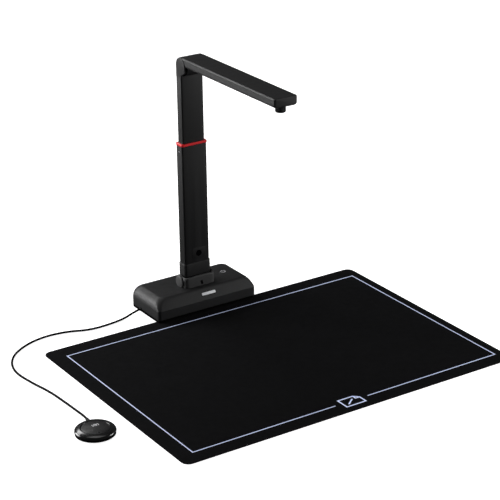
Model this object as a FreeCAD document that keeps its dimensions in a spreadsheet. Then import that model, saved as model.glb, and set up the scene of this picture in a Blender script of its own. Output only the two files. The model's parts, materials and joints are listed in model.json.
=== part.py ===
import FreeCAD, Part
import math
import os
import re
import Sketcher

# Overhead book scanner: a weighted base with a folding telescopic column, a camera arm on an elbow
# hinge, a scanning mat, and a hand button on a cord.  Millimetres, +Z up, the front faces -Y.
# The origin is on the table, under the middle of the base.

V = FreeCAD.Vector
TURN = {
    "Z": FreeCAD.Rotation(),
    "X": FreeCAD.Rotation(V(0, 1, 0), 90),
    "Y": FreeCAD.Rotation(V(1, 0, 0), -90),
}

DIMS = {
    # base
    "base_wide": 201, "base_deep": 102, "base_high": 41.5, "floor_gap": 2.5, "seam_high": 7.3,
    "seam_gap": 0.4, "wall": 2.5, "tray_floor": 2, "tray_lip": 1, "tray_gap": 0.1,
    "front_corner": 6, "rear_corner": 15, "bevel": 18, "crease_high": 23, "slope_deep": 11,
    "slope_high": 38, "slope_end": 15, "foot_rad": 6, "foot_sink": 1, "foot_x": 82,
    "foot_front": -26, "foot_rear": 36, "screw_x": 86, "screw_front": -36, "screw_rear": 24,
    "case_screw_rad": 1.3, "case_screw_long": 13, "case_head_rad": 2.6, "case_head_high": 1.1,
    "case_head_lift": 0.1, "boss_rad": 3.4, "ballast_wide": 150, "ballast_deep": 60,
    "ballast_thick": 8, "board_wide": 130, "board_deep": 60, "board_x": 12, "board_y": 8,
    "board_low": 16, "board_thick": 1.6, "post_rad": 2.6, "usb_x": 34, "usb_wide": 9,
    "usb_high": 3.2, "usb_deep": 7.4, "usb_gap": 0.3, "key_x": 66, "key_y": 3, "key_rad": 8,
    "key_travel": 0.8, "key_gap": 0.3, "key_proud": 0.2, "flange_wide": 1.2, "flange_thick": 1,
    "switch_wide": 6, "switch_high": 3, "plunger_rad": 1.6, "plunger_high": 1, "badge_x": 6,
    "badge_wide": 28, "badge_high": 5, "badge_thick": 0.8, "badge_proud": 0.3, "badge_place": 0.6,
    # column foot
    "col_y": -9, "pivot_high": 50, "knuckle_rad": 7.3, "knuckle_wide": 52, "saddle_wide": 62,
    "saddle_front": -28, "saddle_rear": 3.4, "saddle_high": 59.5, "saddle_rise": 2.5,
    "saddle_corner": 8, "saddle_round": 2, "saddle_lip": 5.3, "cheek": 3.8, "cap_rad": 12.5,
    "cap_thick": 3.6, "cap_round": 2.2, "pin_rad": 3, "fit": 0.05, "plug_x": 2.6, "plug_z": 47.8,
    "plug_wide": 4.6, "plug_high": 8, "plug_tilt": 16, "saddle_screw_rad": 1.1,
    "saddle_screw_long": 8, "saddle_head_rad": 1.7, "saddle_head_high": 1.6,
    "saddle_screw_front": -20, "saddle_screw_rear": -1.5, "washer_rad": 6.6, "washer_thick": 0.8,
    "neck_deep": 11, "neck_top": 70, "lead_rad": 2, "coil_rad": 5,
    # column
    "low_wide": 50.2, "low_deep": 20.8, "low_wall": 1.2, "low_corner": 2.6, "low_from": 61,
    "low_top": 303, "collar_wide": 53.5, "collar_deep": 23.2, "collar_corner": 5,
    "collar_from": 60.5, "collar_top": 84, "trim_wide": 51.8, "trim_deep": 22.3, "trim_thick": 4,
    "up_wide": 44, "up_deep": 17.4, "up_wall": 1.4, "up_corner": 2.2, "up_from": 239, "up_top": 426,
    "slide_gap": 0.08, "liner_from": 240, "sensor_x": 3, "sensor_z": 100.6, "sensor_rad": 5.5,
    "window_thick": 1.4, "window_sink": 0.5, "stop_thick": 6, "stop_plug": 14,
    # elbow
    "elbow_y": -16, "elbow_z": 445, "ear_y": -15.05, "ear_z": 446.25, "ear_rad": 14.75,
    "ear_thick": 3.8, "barrel_rad": 16.4, "barrel_half": 17.4, "elbow_gap": 16.7, "elbow_pin": 2.5,
    "bridge_deep": 8, "fork_plug": 18, "fork_lid": 2, "disc_rad": 8, "disc_thick": 0.5,
    # arm
    "arm_wide": 44, "arm_top": 461.5, "arm_low": 446, "arm_end": -301, "arm_corner": 3,
    "arm_rear": 5, "arm_stop": 22, "arm_wall": 1.8, "arm_round": 1.6, "under_rad": 4.2,
    "cover_thick": 2.5, "cover_gap": 0.2, "tongue_wide": 28, "tongue_high": 5.2, "lens_y": -285,
    "ring_rad": 8.7, "ring_bore": 7.07, "ring_low": 433.3, "ring_top": 445.8, "holder_rad": 7,
    "barrel_out": 5.5, "barrel_in": 4.7, "groove_rad": 0.42, "light_wide": 18, "light_from": -262,
    "light_to": -150, "led_wide": 3, "led_high": 0.8, "led_step": 14,
    # mat
    "mat_wide": 638.6, "mat_deep": 464, "mat_thick": 1.8, "mat_x": -2.6, "mat_back": -39.7,
    "mat_corner": 13,
    # hand button
    "puck_x": -383.3, "puck_y": -337.2, "puck_rad": 32.7, "puck_pad": 1, "puck_floor": 5,
    "puck_top": 11, "puck_round": 3.2, "puck_cap": 22, "puck_gap": 0.4, "puck_crown": 12.2,
    "puck_travel": 1.5,
    # cord
    "cord_rad": 1.9, "boot_rad": 3.2, "boot_tip": 2.5, "boot_gap": 0.5, "grommet_rad": 3.5,
    "exit_x": -103, "exit_y": 13.5, "exit_z": 6.4,
}

LED_COUNT = 8
GROOVE_COUNT = 30

doc = FreeCAD.newDocument("BookScanner")
sheet = doc.addObject("Spreadsheet::Sheet", "Dims")
for row, (alias, value) in enumerate(DIMS.items(), 1):
    sheet.set(f"A{row}", alias)
    sheet.set(f"B{row}", str(value))
    sheet.setAlias(f"B{row}", alias)
doc.recompute()
NODES = []


def expr(text):
    """An expression whose bare names are the sheet's aliases."""
    swap = lambda m: "Dims." + m.group(0) if m.group(0) in DIMS else m.group(0)
    return re.sub(r"[a-z]+(?:_[a-z]+)*", swap, str(text))


def amount(text):
    """The value of such an expression, as a plain number."""
    found = sheet.evalExpression(expr(text))
    return float(getattr(found, "Value", found))


def place(item, x, y, z, turn=TURN["Z"]):
    item.Placement = FreeCAD.Placement(V(), turn)
    for letter, text in zip("xyz", (x, y, z)):
        item.setExpression("Placement.Base." + letter, expr(text))
    return item


def block(name, wide, deep, high, x, y, z):
    """A box centred on x and y, standing on z."""
    item = doc.addObject("Part::Box", name)
    for prop, text in (("Length", wide), ("Width", deep), ("Height", high)):
        item.setExpression(prop, expr(text))
    return place(item, f"({x}) - ({wide})/2", f"({y}) - ({deep})/2", z)


def rod(name, rad, length, x, y, z, axis="Z"):
    """A cylinder that starts at x, y, z and runs along +axis."""
    item = doc.addObject("Part::Cylinder", name)
    item.setExpression("Radius", expr(rad))
    item.setExpression("Height", expr(length))
    return place(item, x, y, z, TURN[axis])


def fuse(name, *items):
    item = doc.addObject("Part::MultiFuse", name)
    item.Shapes = list(items)
    return item


def group(name, *items):
    """Separate solids that share one node."""
    item = doc.addObject("Part::Compound", name)
    item.Links = list(items)
    return item


def cut(name, base, *tools):
    item = doc.addObject("Part::Cut", name)
    item.Base = base
    item.Tool = tools[0] if len(tools) == 1 else fuse(name + "_tools", *tools)
    return item


def common(name, first, second):
    item = doc.addObject("Part::Common", name)
    item.Base = first
    item.Tool = second
    return item


def node(item, label):
    item.Label = label
    NODES.append(item)
    return item


def plane_of(body, role):
    return next(p for p in body.Origin.OriginFeatures if p.Role == role)


def sketch_on(body, role, lift="0"):
    sketch = body.newObject("Sketcher::SketchObject", body.Name + "_sketch")
    sketch.AttachmentSupport = (plane_of(body, role), "")
    sketch.MapMode = "FlatFace"
    sketch.setExpression("AttachmentOffset.Base.z", expr(lift))
    return sketch


def fix(sketch, kind, *where):
    """Adds a dimension: its last value is the expression that drives it."""
    text = where[-1]
    index = sketch.addConstraint(Sketcher.Constraint(kind, *where[:-1], amount(text)))
    sketch.setExpression(f"Constraints[{index}]", expr(text))


def rounded_outline(sketch, wide, deep, front, rear, x="0", y="0"):
    """A rectangle centred on x, y whose front and rear corners have their own radii."""
    w, d, f, r = (amount(text) for text in (wide, deep, front, rear))
    cx, cy = amount(x), amount(y)
    left, right, low, high = cx - w / 2, cx + w / 2, cy - d / 2, cy + d / 2
    line = lambda a, b: Part.LineSegment(V(*a, 0), V(*b, 0))
    arc = lambda c, rad, a: Part.ArcOfCircle(
        Part.Circle(V(*c, 0), V(0, 0, 1), rad), math.radians(a), math.radians(a + 90))
    sketch.addGeometry([
        line((left + f, low), (right - f, low)), arc((right - f, low + f), f, 270),
        line((right, low + f), (right, high - r)), arc((right - r, high - r), r, 0),
        line((right - r, high), (left + r, high)), arc((left + r, high - r), r, 90),
        line((left, high - r), (left, low + f)), arc((left + f, low + f), f, 180)], False)
    for k in range(8):
        sketch.addConstraint(Sketcher.Constraint("Tangent", k, 2, (k + 1) % 8, 1))
    for kind, k in (("Horizontal", 0), ("Vertical", 2), ("Horizontal", 4), ("Vertical", 6)):
        sketch.addConstraint(Sketcher.Constraint(kind, k))
    sketch.addConstraint(Sketcher.Constraint("Equal", 1, 7))
    sketch.addConstraint(Sketcher.Constraint("Equal", 3, 5))
    fix(sketch, "Radius", 1, front)
    fix(sketch, "Radius", 3, rear)
    fix(sketch, "DistanceX", 6, 1, 2, 1, wide)
    fix(sketch, "DistanceY", 0, 1, 4, 1, deep)
    fix(sketch, "DistanceX", -1, 1, 2, 1, f"({x}) + ({wide})/2")
    fix(sketch, "DistanceY", -1, 1, 4, 1, f"({y}) + ({deep})/2")


def pad(body, sketch, length):
    item = body.newObject("PartDesign::Pad", body.Name + "_pad")
    item.Profile = sketch
    item.setExpression("Length", expr(length))
    body.Tip = item
    doc.recompute()
    return item


def pocket(body, sketch, length, upward=True):
    """Cuts the sketch into the body, and checks that something was cut."""
    before = body.Shape.Volume
    item = body.newObject("PartDesign::Pocket", body.Name + "_pocket")
    item.Profile = sketch
    item.Reversed = upward
    item.setExpression("Length", expr(length))
    body.Tip = item
    doc.recompute()
    assert body.Shape.Volume < before - 1e-3, body.Name + ": the pocket cuts nothing"
    return item


def plate(name, wide, deep, corner, low, high, x="0", y="0", rear=None):
    """A flat body with rounded corners, from height low to height high."""
    body = doc.addObject("PartDesign::Body", name)
    sketch = sketch_on(body, "XY_Plane", low)
    rounded_outline(sketch, wide, deep, corner, rear or corner, x, y)
    pad(body, sketch, f"({high}) - ({low})")
    return body


def hollow(body, wide, deep, corner, low, high, x="0", y="0", rear=None):
    sketch = sketch_on(body, "XY_Plane", low)
    rounded_outline(sketch, wide, deep, corner, rear or corner, x, y)
    pocket(body, sketch, f"({high}) - ({low})")
    return body


def tube(name, wide, deep, corner, skin, low, high, y):
    """A rectangular tube with rounded corners, open at both ends."""
    body = plate(name, wide, deep, corner, low, high, y=y)
    inner = f"max({corner} - ({skin}); 0.6)"
    return hollow(body, f"({wide}) - 2*({skin})", f"({deep}) - 2*({skin})", inner, low, high, y=y)


def polygon(name, role, points, length, centred=True):
    """A body pushed from a polygon, whose corners are pairs of expressions."""
    body = doc.addObject("PartDesign::Body", name)
    sketch = sketch_on(body, role)
    flat = [(amount(a), amount(b)) for a, b in points]
    count = len(points)
    for k in range(count):
        sketch.addGeometry(Part.LineSegment(V(*flat[k], 0), V(*flat[(k + 1) % count], 0)), False)
    for k in range(count):
        sketch.addConstraint(Sketcher.Constraint("Coincident", k, 2, (k + 1) % count, 1))
    for k, (a, b) in enumerate(points):
        fix(sketch, "DistanceX", -1, 1, k, 1, a)
        fix(sketch, "DistanceY", -1, 1, k, 1, b)
    item = pad(body, sketch, length)
    item.SideType = "Symmetric" if centred else "One side"
    return body


def fillet(body, rad, choose):
    """Rounds the body's edges that choose picks."""
    names = [f"Edge{k + 1}" for k, edge in enumerate(body.Shape.Edges) if choose(edge)]
    assert names, body.Name + ": no edge to round"
    before = body.Tip
    item = body.newObject("PartDesign::Fillet", body.Name + "_fillet")
    item.Base = (before, names)
    item.setExpression("Radius", expr(rad))
    body.Tip = item
    doc.recompute()
    return item


def rounded_edges(name, solid, rad, choose):
    """A rounded copy of a solid: choose picks the edges."""
    doc.recompute()
    item = doc.addObject("Part::Fillet", name)
    item.Base = solid
    size = amount(rad)
    item.Edges = [(k + 1, size, size) for k, edge in enumerate(solid.Shape.Edges) if choose(edge)]
    assert item.Edges, name + ": no edge to round"
    return item


def at_height(high, tol=0.01):
    """Picks the edges that lie flat at a height."""
    level = amount(high)
    return lambda edge: all(abs(z - level) < tol for z in (edge.BoundBox.ZMin, edge.BoundBox.ZMax))


# ---------------------------------------------------------------- base
TRAY_TOP = "floor_gap + tray_floor + tray_gap"


def rounded_bar(name, role, wide, rad, middle, top, length):
    """A tall bar pushed both ways from an upright plane, with its two upper edges rounded."""
    body = doc.addObject("PartDesign::Body", name)
    sketch = sketch_on(body, role)
    rounded_outline(sketch, wide, "90", "1", rad, middle, f"({top}) - 45")
    item = pad(body, sketch, length)
    item.SideType = "Symmetric"
    return body


def base_form(name, inset, low):
    """The casing's form, inset all round: rounded sides and back, a sloped band at the front."""
    top = f"base_high - {inset}"
    wide, deep = f"base_wide - 2*{inset}", f"base_deep - 2*{inset}"
    lip = f"-base_deep/2 + {inset}"
    plan = plate(name + "_plan", wide, deep, f"front_corner - {inset}", low, top,
                 rear=f"rear_corner - {inset}")
    rad = f"bevel - {inset}"
    across = rounded_bar(name + "_across", "XZ_Plane", wide, rad, "0", top, "base_deep + 40")
    along = rounded_bar(name + "_along", "YZ_Plane", f"{deep} + 80", rad, "-40", top,
                        "base_wide + 40")
    slope = polygon(name + "_slope", "YZ_Plane", [
        (f"{lip} - 9", f"crease_high - {inset}/2"), (lip, f"crease_high - {inset}/2"),
        (f"{lip} + slope_deep", f"slope_high - {inset}/2"), (f"{lip} + slope_end", top),
        (f"{lip} + slope_end", f"{top} + 9"), (f"{lip} - 9", f"{top} + 9")], "base_wide + 40")
    return cut(name, common(name + "_domed", common(name + "_sides", plan, across), along), slope)


def screw_places():
    """Where the case screws stand."""
    return [(f"{sign}*screw_x", y) for sign in ("-1", "1") for y in ("screw_front", "screw_rear")]


def base_shell():
    """The upper casing with its screw bosses and openings."""
    walls = cut("shell_walls", base_form("shell_outer", "0", "seam_high"),
                base_form("shell_inner", "wall", "seam_high - 1"))
    bosses = [rod(f"shell_boss_{k}", "boss_rad", f"base_high - wall - 1 - ({TRAY_TOP})", x, y, TRAY_TOP)
              for k, (x, y) in enumerate(screw_places())]
    pilots = [rod(f"shell_pilot_{k}", "case_screw_rad + fit", "case_screw_long + 1", x, y,
                  "floor_gap + tray_floor") for k, (x, y) in enumerate(screw_places())]
    key = rod("shell_key_hole", "key_rad + key_gap", "2*wall + 1", "key_x", "key_y",
              "base_high - 2*wall")
    usb = block("shell_usb_hole", "usb_wide + 2*usb_gap", 12, "usb_high + 2*usb_gap", "usb_x",
                "base_deep/2", "board_low + board_thick - usb_gap")
    badge = badge_block("shell_badge_seat", "2*fit")
    holes = [rod(f"shell_screw_hole_{k}", "saddle_screw_rad + 2*fit", "saddle_screw_long", x, y,
                 "base_high - 2*wall")
             for k, (x, y) in enumerate(saddle_screw_places())]
    node(cut("base_top_shell_cut", fuse("shell_solid", walls, *bosses), key, usb, badge,
             cord_hole("shell_cord_hole"), *pilots, *holes), "base_top_shell")


def cord_hole(name):
    """The round way through the casing's left wall, where the grommet sits."""
    return rod(name, "grommet_rad + fit", 14, "-base_wide/2 - 4", "exit_y", "exit_z", "X")


def badge_block(name, grow):
    """The badge's block, on the sloped band above the crease."""
    item = doc.addObject("Part::Box", name)
    item.setExpression("Length", expr(f"badge_wide + 2*{grow}"))
    item.setExpression("Width", expr(f"badge_high + 2*{grow}"))
    item.setExpression("Height", expr("badge_thick"))
    tilt = math.degrees(math.atan2(amount("slope_high - crease_high"), amount("slope_deep")))
    item.Placement = FreeCAD.Placement(V(), FreeCAD.Rotation(V(1, 0, 0), tilt))
    along = V(0, math.cos(math.radians(tilt)), math.sin(math.radians(tilt)))
    inward = V(0, math.sin(math.radians(tilt)), -math.cos(math.radians(tilt)))
    start = amount("badge_place*hypot(slope_deep; slope_high - crease_high) - badge_high/2")
    step = along * (start - amount(grow)) + inward * amount("badge_thick - badge_proud")
    item.setExpression("Placement.Base.x", expr(f"badge_x - badge_wide/2 - {grow}"))
    item.setExpression("Placement.Base.y", expr(f"-base_deep/2 + {step.y:.4f}"))
    item.setExpression("Placement.Base.z", expr(f"crease_high + {step.z:.4f}"))
    return item


def saddle_screw_places():
    side = "saddle_wide/2 - cheek/2"
    return [(f"{sign}*({side})", y) for sign in ("-1", "1")
            for y in ("saddle_screw_front", "saddle_screw_rear")]


def base_bottom():
    """The tray that closes the base, its rubber feet and its screws."""
    top = "seam_high - seam_gap"
    body = plate("bottom_tray", "base_wide", "base_deep", "front_corner", "floor_gap", top,
                 rear="rear_corner")
    hollow(body, "base_wide - 2*(wall + tray_lip)", "base_deep - 2*(wall + tray_lip)",
           "front_corner - wall", "floor_gap + tray_floor", top, rear="rear_corner - wall")
    seats = [rod(f"bottom_seat_{k}", "foot_rad + fit", "foot_sink", x, y, "floor_gap - 0.001")
             for k, (x, y) in enumerate(foot_places())]
    ways = []
    for k, (x, y) in enumerate(screw_places()):
        ways.append(rod(f"bottom_head_way_{k}", "case_head_rad + 2*fit",
                        "case_head_lift + case_head_high + fit + 1", x, y, "floor_gap - 1"))
        ways.append(rod(f"bottom_shank_way_{k}", "case_screw_rad + 2*fit", "2*tray_floor", x, y,
                        "floor_gap"))
    node(cut("base_bottom_cut", body, cord_hole("bottom_cord_hole"), *seats, *ways),
         "base_bottom_cover")
    feet = [rod(f"foot_{k}", "foot_rad", "floor_gap + foot_sink - fit", x, y, 0)
            for k, (x, y) in enumerate(foot_places())]
    node(group("feet", *feet), "rubber_feet")
    screws = []
    for k, (x, y) in enumerate(screw_places()):
        low = "floor_gap + case_head_lift"
        head = rod(f"case_screw_head_{k}", "case_head_rad", "case_head_high", x, y, low)
        shank = rod(f"case_screw_shank_{k}", "case_screw_rad", "case_screw_long", x, y, low)
        screws.append(fuse(f"case_screw_{k}", head, shank))
    node(group("case_screw_set", *screws), "base_screws")


def foot_places():
    """One foot near each corner and one in the middle, under the column."""
    corners = [(f"{sign}*foot_x", y) for sign in ("-1", "1") for y in ("foot_front", "foot_rear")]
    return corners + [("0", "0")]


def base_inside():
    """Ballast, circuit board with its parts, the power key and its switch."""
    ballast_top = f"{TRAY_TOP} + ballast_thick"
    node(plate("ballast", "ballast_wide", "ballast_deep", "5", TRAY_TOP, ballast_top),
         "ballast_plate")
    board_top = "board_low + board_thick"
    board = plate("board", "board_wide", "board_deep", "2", "board_low", board_top,
                  x="board_x", y="board_y")
    node(board, "main_board")
    posts = []
    for k, (sx, sy) in enumerate(((-1, -1), (1, -1), (-1, 1), (1, 1))):
        x, y = f"board_x + {sx}*(board_wide/2 - 5)", f"board_y + {sy}*(board_deep/2 - 5)"
        posts.append(rod(f"board_post_{k}", "post_rad", f"board_low - ({ballast_top})", x, y,
                         ballast_top))
    node(group("board_posts_set", *posts), "board_posts")
    # each chip's width, depth, thickness, x and y
    chips = [(14, 14, 1.4, -12, 12), (9, 9, 1.2, 22, 18), (7, 5, 1.6, -38, 0), (12, 8, 4.5, 52, 26),
             (5, 4, 1, 6, -8), (8, 8, 7, -40, 24)]
    node(group("chips", *[block(f"chip_{k}", w, d, t, x, y, board_top)
                          for k, (w, d, t, x, y) in enumerate(chips)]), "board_chips")
    shell = block("usb_shell", "usb_wide", "usb_deep", "usb_high", "usb_x",
                  "base_deep/2 - usb_deep/2 - 0.4", board_top)
    mouth = block("usb_mouth", "usb_wide - 0.8", "usb_deep", "usb_high - 0.8", "usb_x",
                  "base_deep/2 - usb_deep/2 + 0.6", f"{board_top} + 0.4")
    tongue = block("usb_tongue", "usb_wide - 3", 5, 0.7, "usb_x", "base_deep/2 - 4.8",
                   f"{board_top} + usb_high/2 - 0.35")
    node(fuse("usb", cut("usb_can", shell, mouth), tongue), "usb_socket")
    switch = block("switch_can", "switch_wide", "switch_wide", "switch_high", "key_x", "key_y",
                   board_top)
    plunger = rod("switch_plunger", "plunger_rad", "plunger_high", "key_x", "key_y",
                  f"{board_top} + switch_high")
    node(fuse("power_switch_set", switch, plunger), "power_switch")
    under = "base_high - wall - 2*fit"
    cap = rod("key_cap", "key_rad", "wall + 2*fit + key_proud", "key_x", "key_y", under)
    flange = rod("key_flange", "key_rad + flange_wide", "flange_thick", "key_x", "key_y",
                 f"{under} - flange_thick")
    stem_low = f"{board_top} + switch_high + plunger_high + key_travel + 2*fit"
    stem = rod("key_stem", 1.8, f"{under} - ({stem_low})", "key_x", "key_y", stem_low)
    node(fuse("power_key_set", cap, flange, stem), "power_key")
    node(badge_block("badge", "0"), "blank_badge")


# ---------------------------------------------------------------- column foot
def foot_hinge():
    """A saddle on the base holds the column's knuckle on a pin."""
    middle = "(saddle_front + saddle_rear)/2"
    outer = plate("saddle_outer", "saddle_wide", "saddle_rear - saddle_front", "saddle_corner",
                  "base_high", "saddle_high + saddle_rise", y=middle, rear="saddle_round + 1.2")
    arch_rad = "(saddle_wide*saddle_wide/4 + saddle_rise*saddle_rise)/(2*saddle_rise)"
    arch = rod("saddle_arch", arch_rad, 80, 0, "saddle_front - 20",
               f"saddle_high + saddle_rise - ({arch_rad})", "Y")
    arched = common("saddle_arched", outer, arch)
    body = rounded_edges("saddle_round_top", arched, "saddle_round",
                         lambda edge: edge.BoundBox.ZMin > amount("saddle_high") - 1)
    room = block("saddle_room", "saddle_wide - 2*cheek", 40, 30, 0,
                 "saddle_front + saddle_lip + 20", "base_high - 1")
    bore = rod("saddle_bore", "pin_rad + fit", "saddle_wide - 0.6", "-saddle_wide/2 + 0.3",
               "col_y", "pivot_high", "X")
    slot = plug_block("saddle_slot", "0.02", 8, "saddle_front - 2")
    holes = [rod(f"saddle_hole_{k}", "saddle_screw_rad + fit", 9, x, y, "base_high - 3")
             for k, (x, y) in enumerate(saddle_screw_places())]
    node(cut("saddle_cut", body, room, bore, slot, *holes), "hinge_saddle")
    node(plug_block("slot_plug", "0", "cheek - 0.8", "saddle_front + 0.6"), "saddle_slot_plug")
    node(group("saddle_caps", *[saddle_cap(side) for side in (-1, 1)]), "saddle_end_caps")
    screws = []
    for k, (x, y) in enumerate(saddle_screw_places()):
        low = "base_high - wall - saddle_head_high"
        head = rod(f"saddle_screw_head_{k}", "saddle_head_rad", "saddle_head_high", x, y, low)
        shank = rod(f"saddle_screw_shank_{k}", "saddle_screw_rad", "saddle_screw_long", x, y, low)
        screws.append(fuse(f"saddle_screw_{k}", head, shank))
    node(group("saddle_screw_set", *screws), "saddle_screws")
    node(rod("foot_pin", "pin_rad", "saddle_wide - 0.8", "-saddle_wide/2 + 0.4", "col_y",
             "pivot_high", "X"), "foot_hinge_pin")
    washers = []
    for side, start in ((-1, "-(saddle_wide/2 - cheek) + 0.1"), (1, "knuckle_wide/2 + 0.3")):
        disc = rod(f"washer_disc_{side + 1}", "washer_rad", "washer_thick", start, "col_y",
                   "pivot_high", "X")
        hole = rod(f"washer_hole_{side + 1}", "pin_rad + fit", "washer_thick", start, "col_y",
                   "pivot_high", "X")
        washers.append(cut(f"washer_{side + 1}", disc, hole))
    node(group("washers", *washers), "foot_friction_washers")
    barrel = rod("knuckle_barrel", "knuckle_rad", "knuckle_wide", "-knuckle_wide/2", "col_y",
                 "pivot_high", "X")
    neck = block("knuckle_neck", "low_wide - 2*low_wall - 1", "neck_deep",
                 "neck_top - pivot_high", 0, "col_y", "pivot_high")
    hole = rod("knuckle_bore", "pin_rad + fit", "knuckle_wide", "-knuckle_wide/2", "col_y",
               "pivot_high", "X")
    way = rod("knuckle_lead_way", "lead_rad + 0.6", 30, 12, "col_y", "pivot_high + pin_rad + 1.2")
    node(cut("knuckle", fuse("knuckle_solid", barrel, neck), hole, way), "foot_knuckle")


def plug_block(name, grow, deep, front):
    """The slanted plug, or with grow its slot, in the saddle's front wall."""
    item = doc.addObject("Part::Box", name)
    item.setExpression("Length", expr(f"plug_wide + 2*{grow}"))
    item.setExpression("Width", expr(deep))
    item.setExpression("Height", expr(f"plug_high + 2*{grow}"))
    turn = FreeCAD.Rotation(V(0, 1, 0), -amount("plug_tilt"))
    half = V(amount(f"plug_wide/2 + {grow}"), 0, amount(f"plug_high/2 + {grow}"))
    shift = turn.multVec(half)
    item.Placement = FreeCAD.Placement(V(), turn)
    item.setExpression("Placement.Base.x", expr(f"plug_x - {shift.x:.4f}"))
    item.setExpression("Placement.Base.y", expr(front))
    item.setExpression("Placement.Base.z", expr(f"plug_z - {shift.z:.4f}"))
    return item


def saddle_cap(side):
    """A domed disc on the saddle's end, flat where it meets the base."""
    start = "-saddle_wide/2 - cap_thick" if side < 0 else "saddle_wide/2"
    disc = rod(f"cap_disc_{side + 1}", "cap_rad", "cap_thick", start, "col_y", "pivot_high", "X")
    outer = amount(f"{side}*(saddle_wide/2 + cap_thick)")
    body = rounded_edges(f"cap_round_{side + 1}", disc, "cap_round", lambda edge: all(
        abs(x - outer) < 0.01 for x in (edge.BoundBox.XMin, edge.BoundBox.XMax)))
    keep = block(f"cap_keep_{side + 1}", 120, 60, 40, 0, "col_y", "base_high")
    return common(f"cap_{side + 1}", body, keep)


# ---------------------------------------------------------------- column
def column():
    """Lower tube on the foot hinge, upper tube sliding in it, and what they carry."""
    lower = tube("lower", "low_wide", "low_deep", "low_corner", "low_wall", "low_from", "low_top",
                 "col_y")
    eye = rod("lower_eye", "sensor_rad + 0.2", 6, "sensor_x", "col_y - low_deep/2 - 2", "sensor_z",
              "Y")
    node(cut("lower_cut", lower, eye), "lower_column_tube")
    collar = plate("collar", "collar_wide", "collar_deep", "collar_corner", "collar_from",
                   "collar_top", y="col_y")
    hollow(collar, "low_wide + 2*fit", "low_deep + 2*fit", "low_corner", "collar_from",
           "collar_top", y="col_y")
    node(collar, "foot_collar")
    trim = plate("trim", "trim_wide", "trim_deep", "3", "low_top", "low_top + trim_thick",
                 y="col_y")
    hollow(trim, "up_wide + 0.6", "up_deep + 0.6", "up_corner", "low_top", "low_top + trim_thick",
           y="col_y")
    node(trim, "red_trim_ring")
    liner = plate("liner", "low_wide - 2*low_wall - 0.1", "low_deep - 2*low_wall - 0.1", "1.4",
                  "liner_from", "low_top", y="col_y")
    hollow(liner, "up_wide + 2*slide_gap", "up_deep + 2*slide_gap", "up_corner", "liner_from",
           "low_top", y="col_y")
    node(liner, "slide_liner")
    window = rod("window", "sensor_rad", "window_thick", "sensor_x",
                 "col_y - low_deep/2 + window_sink", "sensor_z", "Y")
    node(window, "sensor_window")
    node(block("sensor_pcb", 22, 1.2, 13, "sensor_x", "col_y - low_deep/2 + 2.6", "sensor_z - 6.5"),
         "sensor_board")
    node(tube("upper", "up_wide", "up_deep", "up_corner", "up_wall", "up_from", "up_top", "col_y"),
         "upper_column_tube")
    stop = plate("stop", "low_wide - 2*low_wall - 0.6", "low_deep - 2*low_wall - 0.6", "1.2",
                 "up_from - stop_thick", "up_from", y="col_y")
    plug = plate("stop_plug", "up_wide - 2*up_wall - 0.2", "up_deep - 2*up_wall - 0.2", "0.8",
                 "up_from - 0.5", "up_from + stop_plug", y="col_y")
    hole = rod("stop_hole", "2*lead_rad", 40, 0, "col_y", "up_from - 10")
    node(cut("stop_cut", fuse("stop_set", stop, plug), hole), "tube_stop")
    node(rod("lead", "lead_rad", "up_top - up_from - 22", 0, "col_y", "up_from + 1"),
         "camera_lead")
    node(rod("slack", "coil_rad", "up_from - stop_thick - neck_top - 0.4", 0, "col_y",
             "neck_top + 0.2"), "coiled_lead")


def elbow():
    """The fork on top of the upper tube, the elbow pin and its friction discs."""
    front = "col_y - up_deep/2"
    back = "col_y + up_deep/2"
    ears = []
    for side in (-1, 1):
        start = "-up_wide/2" if side < 0 else "up_wide/2 - ear_thick"
        ring = rod(f"ear_ring_{side + 1}", "ear_rad", "ear_thick", start, "ear_y", "ear_z", "X")
        lip = "ear_y - ear_rad"
        # the web under the ear, whose front edge follows the ear's round
        web = polygon(f"ear_web_{side + 1}", "YZ_Plane", [
            (back, "up_top"), (back, "ear_z"), (lip, "ear_z"), (lip, "ear_z - 7.85"),
            (f"{lip} + 1.7", "ear_z - 11.35"), (f"{lip} + 5", "ear_z - 13.65"),
            (front, "up_top + 2.9"), (front, "up_top")], "ear_thick")
        web.Placement.Base = V(side * amount("up_wide/2 - ear_thick/2"), 0, 0)
        ears += [ring, web]
    lid = plate("fork_lid", "up_wide", "up_deep", "up_corner", "up_top", "up_top + fork_lid",
                y="col_y")
    plug = plate("fork_plug", "up_wide - 2*up_wall - 0.1", "up_deep - 2*up_wall - 0.1", "0.8",
                 "up_top - fork_plug", "up_top + 1", y="col_y")
    bore = rod("fork_bore", "elbow_pin + fit", "up_wide - 1.6", "-up_wide/2 + 0.8", "elbow_y",
               "elbow_z", "X")
    way = rod("fork_way", 3.5, 40, 0, "col_y", "up_top - 20")
    node(cut("fork_cut", fuse("fork_set", *ears, lid, plug), bore, way), "elbow_fork")
    node(rod("elbow_pin_rod", "elbow_pin", "up_wide - 1.8", "-up_wide/2 + 0.9", "elbow_y",
             "elbow_z", "X"), "elbow_pin")
    discs = []
    for side, start in ((-1, "-up_wide/2 + ear_thick + 0.05"), (1, "barrel_half + 0.2")):
        disc = rod(f"elbow_disc_{side + 1}", "disc_rad", "disc_thick", start, "elbow_y",
                   "elbow_z", "X")
        hole = rod(f"elbow_disc_hole_{side + 1}", "elbow_pin + fit", "disc_thick", start,
                   "elbow_y", "elbow_z", "X")
        discs.append(cut(f"elbow_washer_{side + 1}", disc, hole))
    node(group("elbow_discs", *discs), "elbow_friction_discs")


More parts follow.
